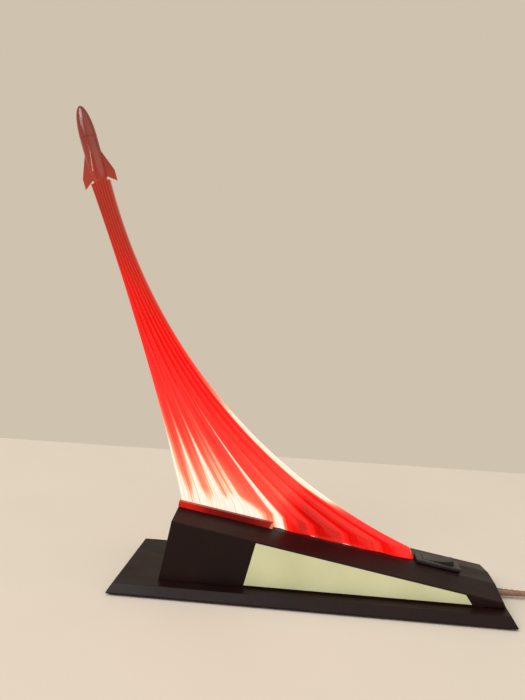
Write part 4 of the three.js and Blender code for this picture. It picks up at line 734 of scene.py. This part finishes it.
bmesh.ops.spin(
    bm, geom=line + edges, axis=(0, 0, 1), cent=(0, 0, 0), angle=2 * math.pi, steps=TURN_STEPS, use_merge=True
)
bmesh.ops.remove_doubles(bm, verts=bm.verts, dist=WELD)
bmesh.ops.recalc_face_normals(bm, faces=bm.faces)
bmesh.ops.transform(bm, matrix=rocket_turn, verts=bm.verts)
rocket = piece_from(bm, "spear_rocket", rocket_acrylic)
print("rocket body faces:", len(rocket.data.polygons))

# %% Rocket's fins
# A fin's outline runs as distance from the axis and height, from its root in the body round its swept tip.
FIN = [(0.5, 7), (13, -2.5), (13, 6), (6.5, 23), (0.5, 23)]
FIN_THICKNESS, FIN_ROUNDING, FIN_COUNT = 1.3, 0.4, 4
ROCKET_SHARP_DEGREES = 35
for i in range(FIN_COUNT):
    bm = bmesh.new()
    outline = [bm.verts.new((x * MM, -FIN_THICKNESS / 2 * MM, z * MM)) for x, z in FIN]
    face = bm.faces.new(outline)
    grown = bmesh.ops.extrude_face_region(bm, geom=[face])["geom"]
    moved = [item for item in grown if isinstance(item, bmesh.types.BMVert)]
    bmesh.ops.translate(bm, verts=moved, vec=(0, FIN_THICKNESS * MM, 0))
    bmesh.ops.recalc_face_normals(bm, faces=bm.faces)
    rounded(bm, FIN_ROUNDING, segments=3)
    around = Matrix.Rotation(2 * math.pi * i / FIN_COUNT, 4, "Z")
    bmesh.ops.transform(bm, matrix=rocket_turn @ around, verts=bm.verts)
    rocket = joined(rocket, piece_from(bm, "fin", rocket_acrylic))
smoothed(rocket, ROCKET_SHARP_DEGREES)
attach(rocket, "base")
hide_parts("rocket")
print("rocket faces:", len(rocket.data.polygons))

# %% [markdown]
# ## Glow strips
# A strip of the same red acrylic lies along each side of the plume's foot. It was sawn from a sheet, so it is
# satin and faintly wavy along the cut. Its glow is painted light: brightest at its tall end, it falls away down
# the slope, brightens a little again near the low end, and there a painted highlight shows as a thin pale edge.
# A small lamp behind it would need a hole in the housing, so a ramp of glow stands for the light, and as the
# strips are straight, it reads the object's own X.

# %% Glow strips
strip_acrylic, shader = finish_named(
    "clear_red_acrylic_strip_sawn", Roughness=0.3, IOR=1.49, Specular_IOR_Level=0.2, Emission_Strength=1.0
)
own = add(strip_acrylic, "TexCoord").outputs["Object"]
along = add(strip_acrylic, "SeparateXYZ", Vector=own).outputs["X"]
STRIP_TALL_END, STRIP_LOW_END = -102.0, -28.2
span = {"From Min": STRIP_TALL_END * MM, "From Max": STRIP_LOW_END * MM}
share = add(strip_acrylic, "MapRange", span, Value=along).outputs[0]
CLOUDS_MM, CLOUDS_DETAIL = 7, 2.0
CLOUDS_SHIFT = 0.16  # soft clouds shift the ramp along the strip, by up to half of this share to and fro
soft = {"Scale": 1 / (CLOUDS_MM * MM), "Detail": CLOUDS_DETAIL}
noise = add(strip_acrylic, "TexNoise", soft, Vector=own).outputs["Fac"]
around_zero = {"operation": "MULTIPLY_ADD", 1: CLOUDS_SHIFT, 2: -CLOUDS_SHIFT / 2}
shift = add(strip_acrylic, "Math", around_zero, _0=noise).outputs[0]
share = add(strip_acrylic, "Math", {"operation": "ADD"}, _0=share, _1=shift).outputs[0]
# The stops are painted light: bright at the tall end, darkest past the middle, a little brighter again towards
# the low end, and a painted pale highlight at the very end. The soft clouds move this painted glow to and fro.
STRIP_GLOW = [
    (0.0, "#ac1408"), (0.14, "#b81c0a"), (0.30, "#740602"), (0.52, "#430301"), (0.74, "#4e0503"),
    (0.90, "#72100b"), (0.99, "#842018"), (1.0, "#c87c66"),
]
glow = add(strip_acrylic, "ValToRGB", {"stops": STRIP_GLOW}, Fac=share).outputs[0]
tone = mottle(strip_acrylic, own, "#500504", "#620a07", size_mm=9)
bump = relief(strip_acrylic, own, size_mm=2.2, depth_mm=0.05, stretch=(0.3, 1, 1))
feed(strip_acrylic, shader, Emission_Color=glow, Base_Color=tone, Normal=bump)
finish_nodes(strip_acrylic, "glow_strip_front", "glow_strip_back")
print("strip glow stops:", len(STRIP_GLOW))

# %% [markdown]
# ## Floor and light
# The lamp stands on a plain pale table top, whose far edge crosses the picture behind the plume. The top is
# rolled laminate, warm and matt, with a fine grain that is drawn coarser than it is. One strong lamp would
# give hard shadows, so two broad suns light it evenly, and a soft panel to the left gives the dark mouldings
# an edge to shine with. The room lights the lamp dimly, but the camera sees it as a plain pale wall, a little
# darker than the table.

# %% Floor
FLOOR_Z = -1.5 * MM
FLOOR_WIDTH, FLOOR_DEPTH, FAR_EDGE_Y = 1.3, 1.1, 0.42
FLOOR_PARTS = 8
floor_finish, shader = finish_named("pale_warm_laminate_rolled", Roughness=0.62)
own = add(floor_finish, "TexCoord").outputs["Object"]
tone = mottle(floor_finish, own, "#d0c6b7", "#d2c8b9", size_mm=120)
feed(floor_finish, shader, Base_Color=tone, Normal=relief(floor_finish, own, size_mm=1.6, depth_mm=0.04))
bm = bmesh.new()
bmesh.ops.create_grid(bm, x_segments=FLOOR_PARTS, y_segments=FLOOR_PARTS, size=0.5)  # 1 from side to side
bmesh.ops.scale(bm, verts=bm.verts, vec=(FLOOR_WIDTH, FLOOR_DEPTH, 1))
bmesh.ops.translate(bm, verts=bm.verts, vec=(0, FAR_EDGE_Y - FLOOR_DEPTH / 2, FLOOR_Z))
floor = piece_from(bm, "floor", floor_finish)
print("floor, m:", FLOOR_WIDTH, "by", FLOOR_DEPTH)

# %% Light
# A sun: its name, its strength, its breadth in degrees and the way that it shines.
SUNS = [("key_sun", 1.9, 40, (0.45, 0.65, -0.95)), ("fill_sun", 0.7, 70, (-0.7, 0.55, -0.6))]
PANEL_PLACE, PANEL_AIM = Vector((-1.4, -1.5, 1.4)), Vector((0, 0, 0.1))
for name, strength, breadth, aim in SUNS:
    lamp = bpy.data.lights.new(name, "SUN")
    lamp.energy = strength
    lamp.angle = math.radians(breadth)
    lamp_object = bpy.data.objects.new(name, lamp)
    lamp_object.rotation_euler = Vector(aim).to_track_quat("-Z", "Y").to_euler()
    scene.collection.objects.link(lamp_object)
panel = bpy.data.lights.new("soft_panel", "AREA")
panel.shape = "RECTANGLE"
panel.size, panel.size_y = 1.4, 1.0
panel.energy = 16
panel_object = bpy.data.objects.new("soft_panel", panel)
panel_object.location = PANEL_PLACE
panel_object.rotation_euler = (PANEL_AIM - PANEL_PLACE).to_track_quat("-Z", "Y").to_euler()
scene.collection.objects.link(panel_object)

# %% Room
world = bpy.data.worlds.new("room")
world.use_nodes = True
scene.world = world
path = add(world, "LightPath").outputs
either = {"operation": "MAXIMUM"}
seen = add(world, "Math", either, _0=path["Is Camera Ray"], _1=path["Is Glossy Ray"]).outputs[0]
seen = add(world, "Math", either, _0=seen, _1=path["Is Transmission Ray"]).outputs[0]
room = add(world, "Background", {"Color": linear("#d6cdc0"), "Strength": 0.7}).outputs[0]
backdrop = add(world, "Background", {"Color": linear("#cfc2ae"), "Strength": 1.0}).outputs[0]
surround = add(world, "MixShader", _0=seen, _1=room, _2=backdrop).outputs[0]
world.node_tree.links.new(surround, world.node_tree.nodes["World Output"].inputs["Surface"])
scene.view_settings.view_transform = "Standard"
print("view transform:", scene.view_settings.view_transform)
